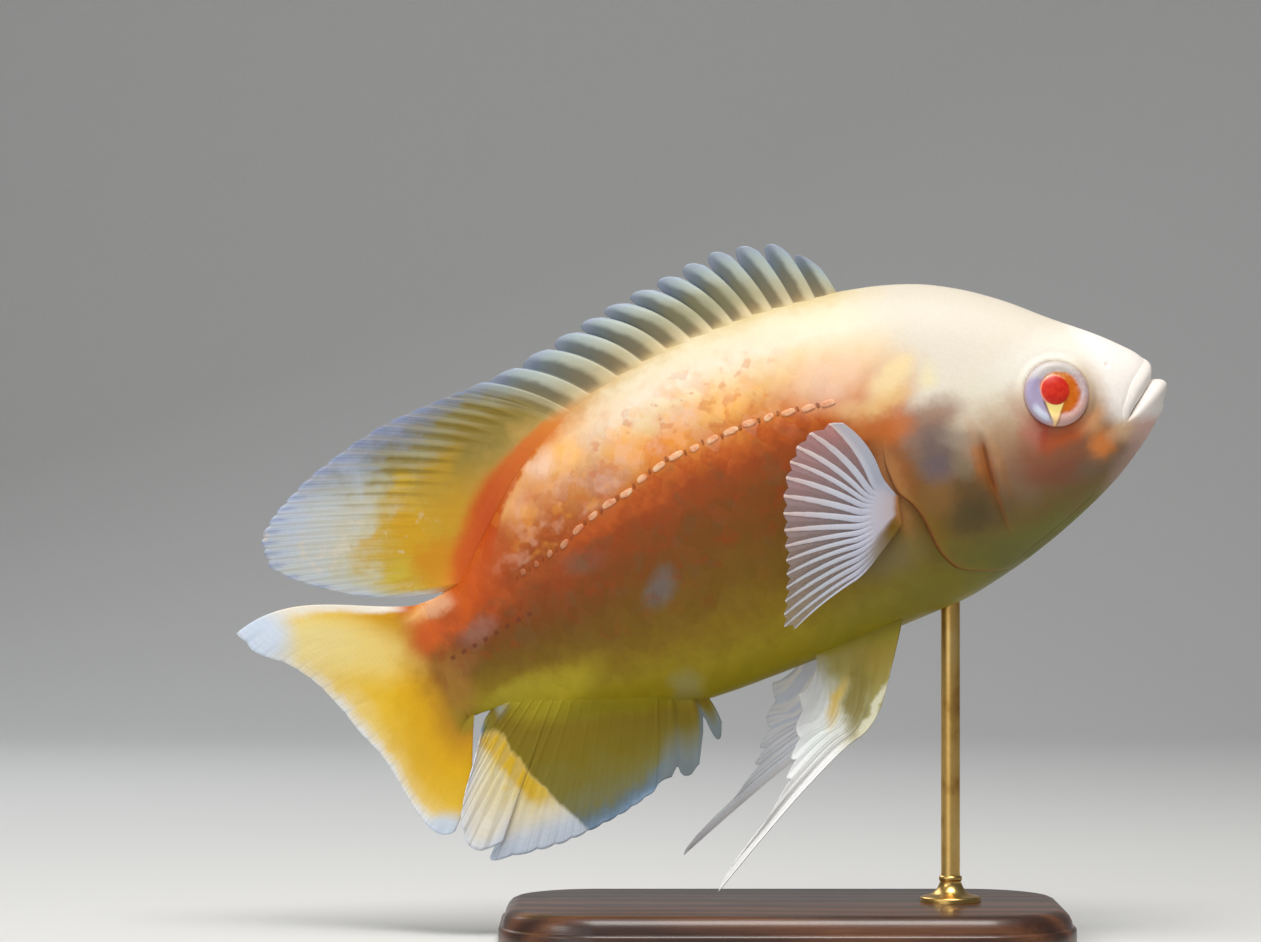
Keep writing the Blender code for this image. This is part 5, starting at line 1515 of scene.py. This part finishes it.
def anal_paint():
    """In front of a slanting line the fin is olive gold with a pale blue margin, painted as in the body's
    shadow. Behind the line it is painted as lit and is nearly white, with a band of gold along the line and
    rays that stand out."""
    p = FinPaint("anal fin", (136, 198, -42, -12))
    s, h, reach, number, cloud, streak = p.s, p.h, p.reach, p.number, p.cloud, p.streak
    far = reach + cloud * 0.3 + streak * 0.04
    front = p.ramp(far, (0.0, 156, 138, 24), (0.2, 140, 116, 10), (0.4, 134, 116, 20),
                   (0.6, 134, 124, 50), (0.76, 132, 130, 84), (0.86, 120, 136, 138),
                   (0.94, 128, 156, 182), (1.0, 164, 190, 218))
    front = p.lay(p.step(number, 3.0, 2.0) * p.step(reach, 0.35, 0.95), front, 132, 144, 148)
    rear = p.ramp(far, (0.0, 224, 208, 150), (0.4, 230, 208, 134), (0.65, 238, 226, 182),
                  (0.85, 240, 234, 220), (1.0, 234, 242, 254))
    # Painted light and shadow: the slanting edge of the body's shadow on the fin, lit behind it and shaded
    # in front.
    from_edge = s - p.line(h, -60.0, -15.0, *lit_edge_points) + cloud * 3 + streak * 2
    lit = p.step(from_edge, -1.0, 1.0) * p.step(h + cloud * 3, -22.0, -25.5)
    colour = p.blend(lit, front, rear)
    gold = p.step(from_edge, 7.5, 4.0) * p.step(h + cloud * 6, -48.0, -42.0)
    colour = p.lay(gold * lit * 0.95, colour, 224, 182, 24)
    golden = p.step(streak, 0.02, 0.16) * p.step(h, -50.0, -42.0) * p.step(from_edge, 14.0, 8.0)
    colour = p.lay(golden * lit * 0.6, colour, 230, 200, 90)
    between_rays = lit * p.step(p.ridge, 0.75, 0.1) * p.step(number, 11.5, 13.5)
    colour = p.lay(between_rays * 0.3, colour, 176, 162, 130)
    colour = p.lay(lit * p.step(h + cloud * 3, -48.0, -54.0) * 0.7, colour, 210, 228, 250)
    colour = p.lay(p.step(number, 16.4, 17.4) * p.step(reach, 0.4, 0.2) * 0.8, colour, 168, 174, 170)
    alpha = 0.99 - p.step(reach, 0.75, 1.0) * 0.2 * (1.0 - p.ridge)
    return p.finish(colour, alpha, 24.0, 0.26)


make_anal_fin()

# %% [markdown]
# ### Tail fin
#
# The tail fin is a fan of soft rays from a curved root at the end of the tail stalk. The upper lobe is drawn
# out to the rear, and the middle of the fan bends away to the left.

# %% Make the tail fin
CAUDAL_RAYS = 16
caudal_tip = smooth(
    (0, 250.6, 25.6), (1, 248, 19.6), (3, 240.5, 12.6), (5, 235.8, 5.6), (7, 232.4, -2.4), (9, 229.6, -11.2),
    (11, 226.2, -19.8), (13, 224.4, -30), (14.3, 223.2, -36.5), (15.2, 221.6, -41), (15.6, 219, -44),
    (15.85, 216.2, -44.6), (16, 212.6, -41),
)
caudal_bow = smooth((0, 4.6), (3, 2.6), (8, 0), (13, -0.6), (16, -1.4))
caudal_wave = smooth((0, 0.5), (8, 5.5), (13, 4), (16, 2.5))
# The root lies inside the end of the tail stalk, and the last rays grow forward along its underside
CAUDAL_TURN = 14.5
caudal_root_s = smooth((0, BODY_END - 3), (CAUDAL_TURN, BODY_END - 3), (CAUDAL_RAYS, 199.0))
caudal_root_h = smooth((0, 14.6), (7.3, -1.5), (CAUDAL_TURN, -17.4), (CAUDAL_RAYS, -16.8))


def make_caudal_fin():
    """A fan whose root is as thick as the end of the tail stalk and thins out over two fifths of its
    length."""
    column = fine_columns(0, CAUDAL_RAYS, 18)
    row = np.linspace(0, 1, 56) ** 0.95
    off = np.abs(column - np.round(column)) * 2
    edge = 1 - (0.005 + 0.004 * np.sin(column * 2.7)) * off**2
    root = upright(caudal_root_s(column), caudal_root_h(column))
    tip = upright(*caudal_tip(column))
    mid = bowed(column, row, root, tip, caudal_bow(column), edge, late=2)
    mid[..., 2] += row[:, None] ** 1.6 * caudal_wave(column)[None, :]
    relief = forked(column, row, np.ones(len(column)))
    relief = relief * ease(row, 0.12, 0.4)[:, None]
    turned = np.radians(angle_at(BODY_END - 3.0, root[:, 1]))
    stalk = 2 * half_width(BODY_END - 3) * np.clip(np.cos(turned), 0, 1)
    blend_out = ease(row, 0.4, 0.0)[:, None]
    thick = (0.5 + 0.1 * relief * ease(row, 0.5, 0.9)[:, None]) * (1 - 0.55 * row[:, None] ** 1.5)
    thick = thick * (1 - blend_out) + np.maximum(stalk - 0.5, 0.8)[None, :] * blend_out
    return fin_piece("caudal_fin", mid, thick, column, row, caudal_paint(), {"ridge": relief})


# The orange root, the deep gold middle, the paler upper lobe and both bluish white tips
CAUDAL_PATCHES = (
    (213, -18, 8, 15, 8, 0.7, 0.6, 218, 162, 8),
    (206, -12, 4, 12, 0, 0.7, 0.5, 176, 124, 30),
    (230, 15, 14, 7, 28, 0.7, 0.85, 252, 234, 164),
    (219, 7, 11, 6, 25, 0.8, 0.7, 250, 222, 134),
    (203, 6, 6, 5, 10, 0.7, 0.85, 206, 96, 28),
)
CAUDAL_TIPS = (
    (245, 22.5, 9, 7, 40, 0.5, 0.95, 220, 234, 254),
    (218, -43.5, 7, 4.5, 20, 0.5, 0.9, 214, 230, 250),
)


def caudal_paint():
    """Golden yellow with an orange root and a bluish white margin along the tips and both lobes."""
    p = FinPaint("tail fin", (194, 214, -22, 20))
    reach, number, cloud, streak = p.reach, p.number, p.cloud, p.streak
    far = reach + cloud * 0.16 + streak * 0.08
    gold = p.ramp(far, (0.0, 180, 116, 40), (0.15, 200, 140, 30), (0.3, 228, 170, 14),
                  (0.5, 242, 192, 26), (0.72, 244, 200, 60), (0.88, 246, 214, 124),
                  (0.96, 246, 234, 206), (1.0, 240, 242, 244))
    gold = add_patches(p, gold, p.s + cloud * 8, p.h + cloud * 8, CAUDAL_PATCHES)
    upper_edge = p.step(number + cloud * 0.8, 0.75, 0.2) * p.step(reach, 0.04, 0.14)
    gold = p.lay(upper_edge * 0.9, gold, 252, 246, 232)
    colour = add_patches(p, gold, p.s + cloud * 5, p.h + cloud * 5, CAUDAL_TIPS)
    alpha = 0.99 - p.step(reach, 0.85, 1.0) * 0.15 * (1.0 - p.ridge)
    return p.finish(colour, alpha, 27.0, 0.22)


make_caudal_fin()

# %% [markdown]
# ### Pectoral fins
#
# Behind each gill cover a fan of white rays stands off the flank. Its short fleshy root ends in a knuckle,
# from which the rays spread. The web between them is nearly clear, so it is almost only the rays that show.

# %% Make the pectoral fins
PECTORAL_RAYS = 16
pectoral_tip = smooth(
    (0, 82.1, 19.2), (0.07, 85.9, 20.3), (0.14, 92.2, 19.6), (0.21, 96.7, 16.7), (0.29, 100, 12.8),
    (0.36, 102.7, 8.3), (0.43, 104.7, 3.6), (0.57, 107.6, -5.3), (0.71, 110.1, -12.9), (0.86, 113.6, -20.5),
    (0.93, 115.1, -24), (1, 112.7, -25.8),
)
pectoral_knuckle = smooth(
    (0, 77.7, 2.5), (0.12, 81.8, -0.4), (0.3, 84.5, -2.8), (0.5, 87.1, -7.6), (0.7, 88.4, -12.3),
    (1, 91.3, -19.5),
)
pectoral_bow = smooth((0, 1.6), (0.2, 1.2), (0.5, 0.3), (0.75, 0.9), (1, 0.8))
pectoral_ray_half = smooth((0, 0.6), (0.3, 0.5), (0.45, 0.36), (0.6, 0.27), (0.8, 0.18), (1, 0.08))
PECTORAL_ROOT = ((76.0, -3.6), (77.2, -10.4))
PECTORAL_FLARE = 11.0
KNUCKLE_ROW = 0.3
PECTORAL_RAGGED = 0.05
FRONT_RAY = 0.8
BEND_SPAN = 0.32


def pectoral_path(t, root, knuckle, tip, bow):
    """Places at the share t of each ray: straight to the knuckle, then to the tip, bowed to the front
    side."""
    inner = np.clip(t / KNUCKLE_ROW, 0, 1)[..., None]
    outer = np.clip((t - KNUCKLE_ROW) / (1 - KNUCKLE_ROW), 0, 1)[..., None]
    reach = tip - knuckle
    ahead = np.stack([-reach[:, 1], reach[:, 0]], axis=-1) / np.linalg.norm(reach, axis=-1, keepdims=True)
    return root + (knuckle - root) * inner + reach * outer + 4 * outer * (1 - outer) * bow[:, None] * ahead


def make_pectoral_fin(side, material):
    """Each column follows its path, whose bend at the knuckle is rounded by the mean of places a little
    before and after, and it lifts off the flank with its reach. The first ray is a broad blade."""
    column = fine_columns(0, PECTORAL_RAYS, 18)
    row = np.linspace(0, 1, 60)
    (top_s, top_h), (low_s, low_h) = PECTORAL_ROOT
    share = column / PECTORAL_RAYS
    root = np.stack([top_s + (low_s - top_s) * share, top_h + (low_h - top_h) * share], axis=-1)
    knuckle = np.stack(pectoral_knuckle(share), axis=-1)
    off = np.abs(column - np.round(column)) * 2 * (column > FRONT_RAY)
    edge = 1 - PECTORAL_RAGGED * off**1.5
    tip = np.stack(pectoral_tip(share), axis=-1)
    t = np.minimum(row[:, None], KNUCKLE_ROW) + np.clip(row[:, None] - KNUCKLE_ROW, 0, 1) * edge[None, :]
    bend = BEND_SPAN * t * (1 - t)
    bow = pectoral_bow(share)
    path = [pectoral_path(t + step * bend, root, knuckle, tip, bow) for step in (-1, -0.5, 0, 0.5, 1)]
    flat = np.mean(path, axis=0)
    surface = np.abs(section(flat[..., 0], angle_at(flat[..., 0], flat[..., 1]), 1.0)[..., 2])
    lift = PECTORAL_FLARE * row[:, None] ** 0.9 * (0.75 + 0.25 * np.sin(np.pi * share))[None, :]
    out = (surface[0] - 0.6) * (1 - row[:, None]) + (surface + 1.0) * row[:, None] + lift
    mid = np.concatenate([flat, side * out[..., None]], axis=-1)
    from_ray = np.abs(column - np.round(column))[None, :] / pectoral_ray_half(row)[:, None]
    relief = np.sqrt(np.clip(1 - from_ray**2, 0, 1))
    relief = np.maximum(relief, ease(row, 0.34, 0.2)[:, None])
    relief = np.maximum(relief, ease(column, 1.0, FRONT_RAY)[None, :] * 0.9)
    fleshy = 1.6 * ease(row, 0.3, 0.0)[:, None]
    thick = (0.3 + 0.5 * relief) * (1 - 0.45 * row[:, None] ** 1.5) + fleshy
    node = "pectoral_fin_right" if side < 0 else "pectoral_fin_left"
    return fin_piece(node, mid, thick, column, row, material, {"ridge": relief})


def pectoral_paint():
    """Bluish white rays that turn a little pink towards their ends, and a thin web that is a lavender
    veil."""
    p = FinPaint("pectoral fin", (70, 94, -24, 6))
    reach, number = p.reach + p.cloud * 0.1, p.number
    on_ray = p.step(p.ridge, 0.1, 0.55)
    ray = p.ramp(reach, (0.0, 196, 176, 176), (0.3, 206, 208, 226), (0.55, 214, 216, 228),
                 (0.8, 216, 204, 208), (1.0, 222, 196, 186))
    low = p.step(number + p.cloud * 3, 8.0, 12.0) * p.step(reach, 0.4, 0.7)
    ray = p.lay(low * 0.7, ray, 216, 226, 236)
    ray = p.lay(p.step(number, 1.1, 0.7) * 0.6, ray, 178, 184, 200)
    colour = p.blend(on_ray, rgb(204, 194, 208), ray)
    alpha = 0.2 + on_ray * 0.78
    return p.finish(colour, alpha, 22.0, 0.08 + p.step(number + p.cloud * 4, 9.0, 13.0) * 0.3)


pectoral_fin_paint = pectoral_paint()
for side in (-1.0, 1.0):
    make_pectoral_fin(side, pectoral_fin_paint)

# %% [markdown]
# ### Pelvic fins
#
# The two fins under the breast run out into long streamers. The first soft ray carries the streamer, and the
# rays behind it end in steps. The near fin hangs lower than the far one, so both show from the side.

# %% Make the pelvic fins
PELVIC_ROOT = ((85.0, 7.0), (110.0, 4.6))
pelvic_lead = smooth(
    (0, 84.6, -36.6), (0.15, 92, -46.9), (0.29, 100.2, -56.9), (0.355, 105.2, -60), (0.42, 110.2, -61.2),
    (0.59, 124, -66.7), (0.79, 140, -74.4), (1, 156.1, -82.7),
)
pelvic_tip = smooth(
    (0, 156.1, -82.7), (0.5, 154.4, -80.9), (1, 151, -78.2), (2, 134.2, -67.2), (3, 128.6, -61.4),
    (4, 125.6, -57.1), (5, 121.6, -50.4), (6, 117.6, -42.7),
)
pelvic_reach = smooth((0, 1), (0.5, 0.98), (1, 0.94), (2, 0.72), (3, 0.65), (4, 0.57), (5, 0.44), (6, 0.3))
PELVIC_SPLAY = 9.0
PELVIC_RAYS = 6


def breast_height(s, y):
    """The height of the belly's skin at distance s and at some distance from the middle plane."""
    share = np.clip(np.abs(y) / half_width(s), 0, 1) ** (1 / belly_pinch(s))
    centre = widest_line(s)
    return centre - (centre - belly_line(s)) * np.sqrt(1 - share**2)


def make_pelvic_fin(side, lift_deg, fanned, material):
    """Columns follow the leading edge's path for their share of its length and drift to their own tips. The
    far fin is turned up round its front, and its hind rays are a little longer."""
    column = np.concatenate([np.linspace(0, 1, 15), fine_columns(1, PELVIC_RAYS, 18)[1:]])
    row = np.linspace(0, 1, 70)
    share = column / column[-1]
    (front_s, front_y), (back_s, back_y) = PELVIC_ROOT
    root_s = front_s + (back_s - front_s) * share
    root_y = front_y + (back_y - front_y) * share
    root = np.stack([root_s, breast_height(root_s, root_y) + ROOT_SUNK], axis=-1)
    start = np.array(pelvic_lead(0))
    edge = 1 - 0.07 * (np.abs(column - np.round(column)) * 2) ** 1.5 * (column > 1)
    along = (row[:, None] * pelvic_reach(column)[None, :]) * edge[None, :]
    lead = np.stack(pelvic_lead(along), axis=-1)
    tip = np.stack(pelvic_tip(column), axis=-1)
    full = pelvic_reach(column)
    end = np.stack(pelvic_lead(full), axis=-1)
    drift = (row[:, None] * edge[None, :])[..., None]
    flat = lead + (root - start) * (1 - drift) + (tip - end) * drift ** (0.6 + 0.6 * share)[None, :, None]
    turn = math.radians(lift_deg) * (row / (row + 0.15))[:, None]
    offset = (flat - start) * (1 + fanned * share * row[:, None])[..., None]
    flat = start + np.stack([offset[..., 0] * np.cos(turn) - offset[..., 1] * np.sin(turn),
                             offset[..., 0] * np.sin(turn) + offset[..., 1] * np.cos(turn)], axis=-1)
    sideways = root_y[None, :] + PELVIC_SPLAY * row[:, None] ** 0.8 * (1 - 0.35 * share)[None, :]
    mid = np.concatenate([flat, (side * sideways)[..., None]], axis=-1)
    relief = forked(np.where(column < 1, column * 2, column), row, np.where(column < 1, 0.0, 1.0))
    relief = np.where((column < 1)[None, :], relief * 0.4 + 0.4, relief * (1 - 0.5 * row[:, None]))
    relief = relief * ease(row, 0.2, 0.55)[:, None]
    fleshy = 1.6 * np.exp(-row / 0.07)[:, None]
    thick = (0.45 + 0.4 * relief) * (1 - 0.35 * row[:, None] ** 1.5) + fleshy
    node = "pelvic_fin_right" if side < 0 else "pelvic_fin_left"
    return fin_piece(node, mid, thick, column, row, material, {"ridge": relief})


# Olive and gold on the near fin's web, its cream margin, and the pale web behind
PELVIC_PATCHES = (
    (117, -44, 5, 9, 35, 0.7, 0.85, 206, 206, 206),
    (95, -40, 8, 6, -20, 0.7, 0.7, 156, 132, 44),
    (103.8, -49, 9, 2.4, -60, 0.6, 0.85, 134, 120, 48),
    (109.4, -48.5, 5.6, 1.7, -53, 0.7, 0.75, 228, 190, 70),
    (101, -53.6, 10, 1.3, -41, 0.5, 0.8, 232, 230, 204),
)


def pelvic_paint(name, shade):
    """White at the streamer, olive yellow on the web near the body, with a yellow streak in its middle. The
    streamer's front rays are laid on pure white, their own white and painted light where they hang out of
    the body's shadow. The far fin is bluish white, lightened to nearly pure white as painted light against
    the body's shadow on it."""
    p = FinPaint(name, (82, 114, -46, -26))
    reach, number, cloud = p.reach, p.number, p.cloud
    far = reach + cloud * 0.2 + p.streak * 0.1
    web = p.ramp(far, (0.0, 150, 136, 60), (0.25, 160, 150, 84), (0.42, 198, 194, 160),
                 (0.55, 228, 230, 222), (0.7, 240, 246, 244), (1.0, 250, 254, 254))
    colour = p.lay(p.step(p.ridge, 0.2, 0.9) * 0.12, web, 232, 230, 214)
    colour = add_patches(p, colour, p.s + cloud * 5, p.h + cloud * 5, PELVIC_PATCHES)
    # Painted light in part: the streamer's front rays laid on pure white where they are out of the body's
    # shadow.
    bright = p.step(number - reach * 3.4, 0.4, -1.0) * p.step(reach, 0.36, 0.5)
    colour = p.lay(bright, colour, 254, 255, 255)
    # Painted light: the far fin's own bluish white lifted to nearly pure white, against the body's shadow on
    # it.
    far_lightened = p.blend(p.step(p.ridge, 0.1, 0.7), rgb(232, 240, 255), rgb(255, 255, 255))
    colour = p.blend(shade, colour, far_lightened)
    solid = p.step(number, 1.6, 0.9) * 0.3
    alpha = 0.99 - p.step(reach, 0.3, 0.8) * (0.12 + shade * 0.2) * (1.0 - p.ridge) * (1.0 - solid * 3.0)
    return p.finish(colour, alpha, 24.0, 0.12)


make_pelvic_fin(-1.0, 0.0, 0.0, pelvic_paint("near pelvic fin", 0.0))
make_pelvic_fin(1.0, 8.6, 0.14, pelvic_paint("far pelvic fin", 0.95))

# %% [markdown]
# ## The stand
#
# The base is a plate of dark stained wood with round corners and a moulded edge, and the rod is turned brass
# with a flange. Both are profiles carried along a path: the moulding round the plate's outline, the rod's
# round its axis.

# %% Make the base
BASE_LENGTH = 150.0
BASE_WIDTH = 86.0
BASE_THICK = 10.0
BASE_CORNER = 26.0
CORNER_STEPS = 33

# How far in from the outline and how high each step of the moulding lies
moulding = ((0.8, 0.0), (0.2, 0.25), (0.0, 0.9), (0.0, 4.6), (0.25, 5.1), (0.9, 5.4), (1.05, 5.9),
            (1.3, 7.0), (1.9, 8.2), (2.9, 9.3), (4.2, 9.85), (5.2, 10.0))


def base_paint():
    """Dark walnut: long growth rings cut lengthwise, fine pores and a satin varnish."""
    p = Paint("stained wood", coat_roughness=0.18)
    x, y, z = p.parts(p.position())
    bend = p.noise(p.vector(x * 7, y * 24, z * 24), 1.0, 3.0, 0.55)
    rings = p.math("SINE", (y * 520 + z * 260 + bend * 16))
    pores = p.noise(p.vector(x * 90, y * 1400, z * 1400), 1.0, 2.0, 0.6)
    grain = rings * 0.3 + pores * 0.5 + bend * 0.4
    colour = p.ramp(grain, (0.0, 46, 26, 17), (0.45, 78, 46, 30), (0.7, 98, 60, 38),
                    (1.0, 122, 78, 50))
    return p.wire(base_color=colour, roughness=0.34 + pores * 0.16, coat_weight=0.3 + pores * 0.1,
                  normal=p.bump(grain, 0.1, 0.0003))


def make_base():
    """The outline is a rectangle with quarter rounds. Each ring of the moulding is that outline drawn in."""
    turn = np.concatenate([np.linspace(0, np.pi / 2, CORNER_STEPS) + q * np.pi / 2 for q in range(4)])
    sign_x = np.repeat([1, -1, -1, 1], CORNER_STEPS)
    sign_y = np.repeat([1, 1, -1, -1], CORNER_STEPS)
    rings = []
    for inset, height in moulding:
        radius = BASE_CORNER - inset
        x = sign_x * (BASE_LENGTH / 2 - BASE_CORNER) + radius * np.cos(turn)
        y = sign_y * (BASE_WIDTH / 2 - BASE_CORNER) + radius * np.sin(turn)
        rings.append(np.stack([x, y, np.full(len(turn), height)], axis=-1))
    rings = np.array(rings)
    count, around = rings.shape[:2]
    points = np.concatenate([rings.reshape(-1, 3), [[0, 0, 0], [0, 0, BASE_THICK]]]) * MM
    return make_piece("stand_base_plate", points, tube_faces(count, around), base_paint(),
                      ("stand_base",), crease=40)


make_base()

# %% Make the rod
ROD_RADIUS = 2.5
ROD_S = 72.0
ROD_TURNS = 64
ROD_INTO_SKIN = 0.4
rod_foot = BASE_THICK + 0.02

# Radius and height over the plate of the turned foot
rod_profile = (
    (8.0, 0.0), (8.0, 1.0), (7.85, 1.35), (7.5, 1.55), (6.9, 1.62), (6.5, 1.7), (5.4, 2.0), (4.5, 2.5),
    (3.7, 3.3), (3.1, 4.4), (2.75, 5.4), (2.9, 5.7), (3.05, 6.0), (3.05, 6.4), (2.9, 6.7), (2.55, 6.95),
    (2.5, 7.6),
)


def brass_paint():
    """Turned brass: fine rings round the rod in the roughness, a few darker marks of handling."""
    p = Paint("turned brass", metallic=1.0)
    x, y, z = p.parts(p.position())
    turning = p.noise(p.vector(x * 20, y * 20, z * 3000), 1.0, 2.0, 0.5)
    tarnish = p.noise(p.vector(x * 120, y * 120, z * 90), 1.0, 4.0, 0.6)
    colour = p.ramp(tarnish, (0.3, 226, 190, 118), (0.55, 212, 170, 96), (0.75, 168, 122, 60))
    return p.wire(base_color=colour, roughness=0.2 + turning * 0.14 + tarnish * 0.08,
                  normal=p.bump(turning, 0.06, 0.0002))


def make_rod():
    """The profile turned round the rod's axis. The top follows the slope of the throat, a hair inside its
    skin."""
    foot = room([ROD_S, float(belly_line(ROD_S)), 0.0]) / MM
    turn = np.linspace(0, 2 * np.pi, ROD_TURNS, endpoint=False)
    round_it = np.stack([np.cos(turn), np.sin(turn)], axis=-1)
    rings = [np.column_stack([radius * round_it, np.full(ROD_TURNS, rod_foot + z)]) for radius,
             z in rod_profile]
    top = foot[2] + ROD_INTO_SKIN + ROD_RADIUS * np.cos(turn) * math.tan(PITCH)
    rings.append(np.column_stack([ROD_RADIUS * round_it, top]))
    rings = np.array(rings) + np.array([foot[0], foot[1], 0.0])
    ends = [rings[0].mean(axis=0), rings[-1].mean(axis=0)]
    points = np.concatenate([rings.reshape(-1, 3), ends]) * MM
    return make_piece("stand_rod_turned", points, tube_faces(len(rings), ROD_TURNS), brass_paint(),
                      ("stand_rod",), crease=50)


make_rod()

# %% [markdown]
# ## Floor, light and camera
#
# The floor is a pale sweep that rises behind the stand, so that no edge shows. The photo is lit from above,
# and the belly falls into shade. A large soft light overhead does the same, with a weaker one from the
# camera's side that opens up the flank. The camera looks level along +Y, at the fish's right side.


# %% Floor
def sweep_paint():
    """Matt studio paper with the faintest grain."""
    p = Paint("studio sweep", roughness=0.9)
    grain = p.noise(p.position(), 900.0)
    return p.wire(base_color=p.blend(grain, rgb(214, 214, 212), rgb(222, 222, 220)))


def make_sweep():
    """A floor that turns up into a wall over a quarter round, as a profile drawn sideways."""
    radius, depth, wide, high = 0.6, 0.9, 4.0, 2.6
    turn = np.linspace(0, np.pi / 2, 24)
    line = [(-2.4, 0.0), (depth - 0.01, 0.0)]
    line += [(depth + radius * math.sin(t), radius * (1 - math.cos(t))) for t in turn]
    line += [(depth + radius, high)]
    line = np.array(line)
    across = np.array([-wide, wide])
    points = np.stack([np.broadcast_to(across[None, :], (len(line), 2)),
                       np.broadcast_to(line[:, :1], (len(line), 2)),
                       np.broadcast_to(line[:, 1:], (len(line), 2))], axis=-1).reshape(-1, 3)
    mesh = bpy.data.meshes.new("studio_sweep")
    mesh.from_pydata(points.tolist(), [], grid_quads(len(line), 2).tolist())
    mesh.shade_smooth()
    mesh.materials.append(sweep_paint())
    sweep = bpy.data.objects.new("studio_sweep", mesh)
    bpy.context.scene.collection.objects.link(sweep)


make_sweep()


# %% Lights
def soft_light(name, place, aim, size, power, colour=(1.0, 1.0, 1.0)):
    """A square area light that faces a point."""
    light = bpy.data.lights.new(name, "AREA")
    light.size = size
    light.energy = power
    light.color = colour
    holder = bpy.data.objects.new(name, light)
    holder.location = place
    holder.rotation_euler = (Vector(aim) - Vector(place)).to_track_quat("-Z", "Y").to_euler()
    bpy.context.scene.collection.objects.link(holder)


middle = (0.0, 0.0, 0.11)
tail = (-0.11, 0.0, 0.12)
soft_light("key over the back", (0.05, -0.3, 0.95), middle, 0.5, 9.0, (1.0, 0.97, 0.93))
soft_light("fill from the camera", (-0.6, -1.2, 0.35), middle, 0.9, 2.6, (0.96, 0.98, 1.0))
soft_light("light on the tail", (-0.55, -0.42, 0.42), tail, 0.25, 1.1, (1.0, 0.98, 0.95))
soft_light("rim behind", (-0.5, 0.7, 0.7), middle, 0.5, 3.0, (0.92, 0.96, 1.0))
world = bpy.data.worlds.new("studio air")
world.use_nodes = True
world.node_tree.nodes["Background"].inputs["Color"].default_value = (0.8, 0.86, 0.95, 1.0)
world.node_tree.nodes["Background"].inputs["Strength"].default_value = 0.14
bpy.context.scene.world = world
bpy.context.scene.view_settings.view_transform = "Standard"

# %% Camera
PHOTO_WIDTH = 1261
PHOTO_HEIGHT = 942
MM_PER_PIXEL = 0.26307
SNOUT_PIXEL = (1155, 378)
CAMERA_AWAY = 1.2

view_x = SNOUT_X - (SNOUT_PIXEL[0] - PHOTO_WIDTH / 2) * MM_PER_PIXEL
view_z = SNOUT_Z + (SNOUT_PIXEL[1] - PHOTO_HEIGHT / 2) * MM_PER_PIXEL
lens = bpy.data.cameras.new("camera")
lens.sensor_width = 36.0
lens.lens = 36.0 * CAMERA_AWAY / (PHOTO_WIDTH * MM_PER_PIXEL * MM)
lens.clip_start = 0.01
camera = bpy.data.objects.new("camera", lens)
camera.location = (view_x * MM, -CAMERA_AWAY, view_z * MM)
camera.rotation_euler = (math.pi / 2, 0, 0)
bpy.context.scene.collection.objects.link(camera)
bpy.context.scene.camera = camera
print("camera at", [round(v, 4) for v in camera.location], "with a lens of", round(lens.lens, 1), "mm")
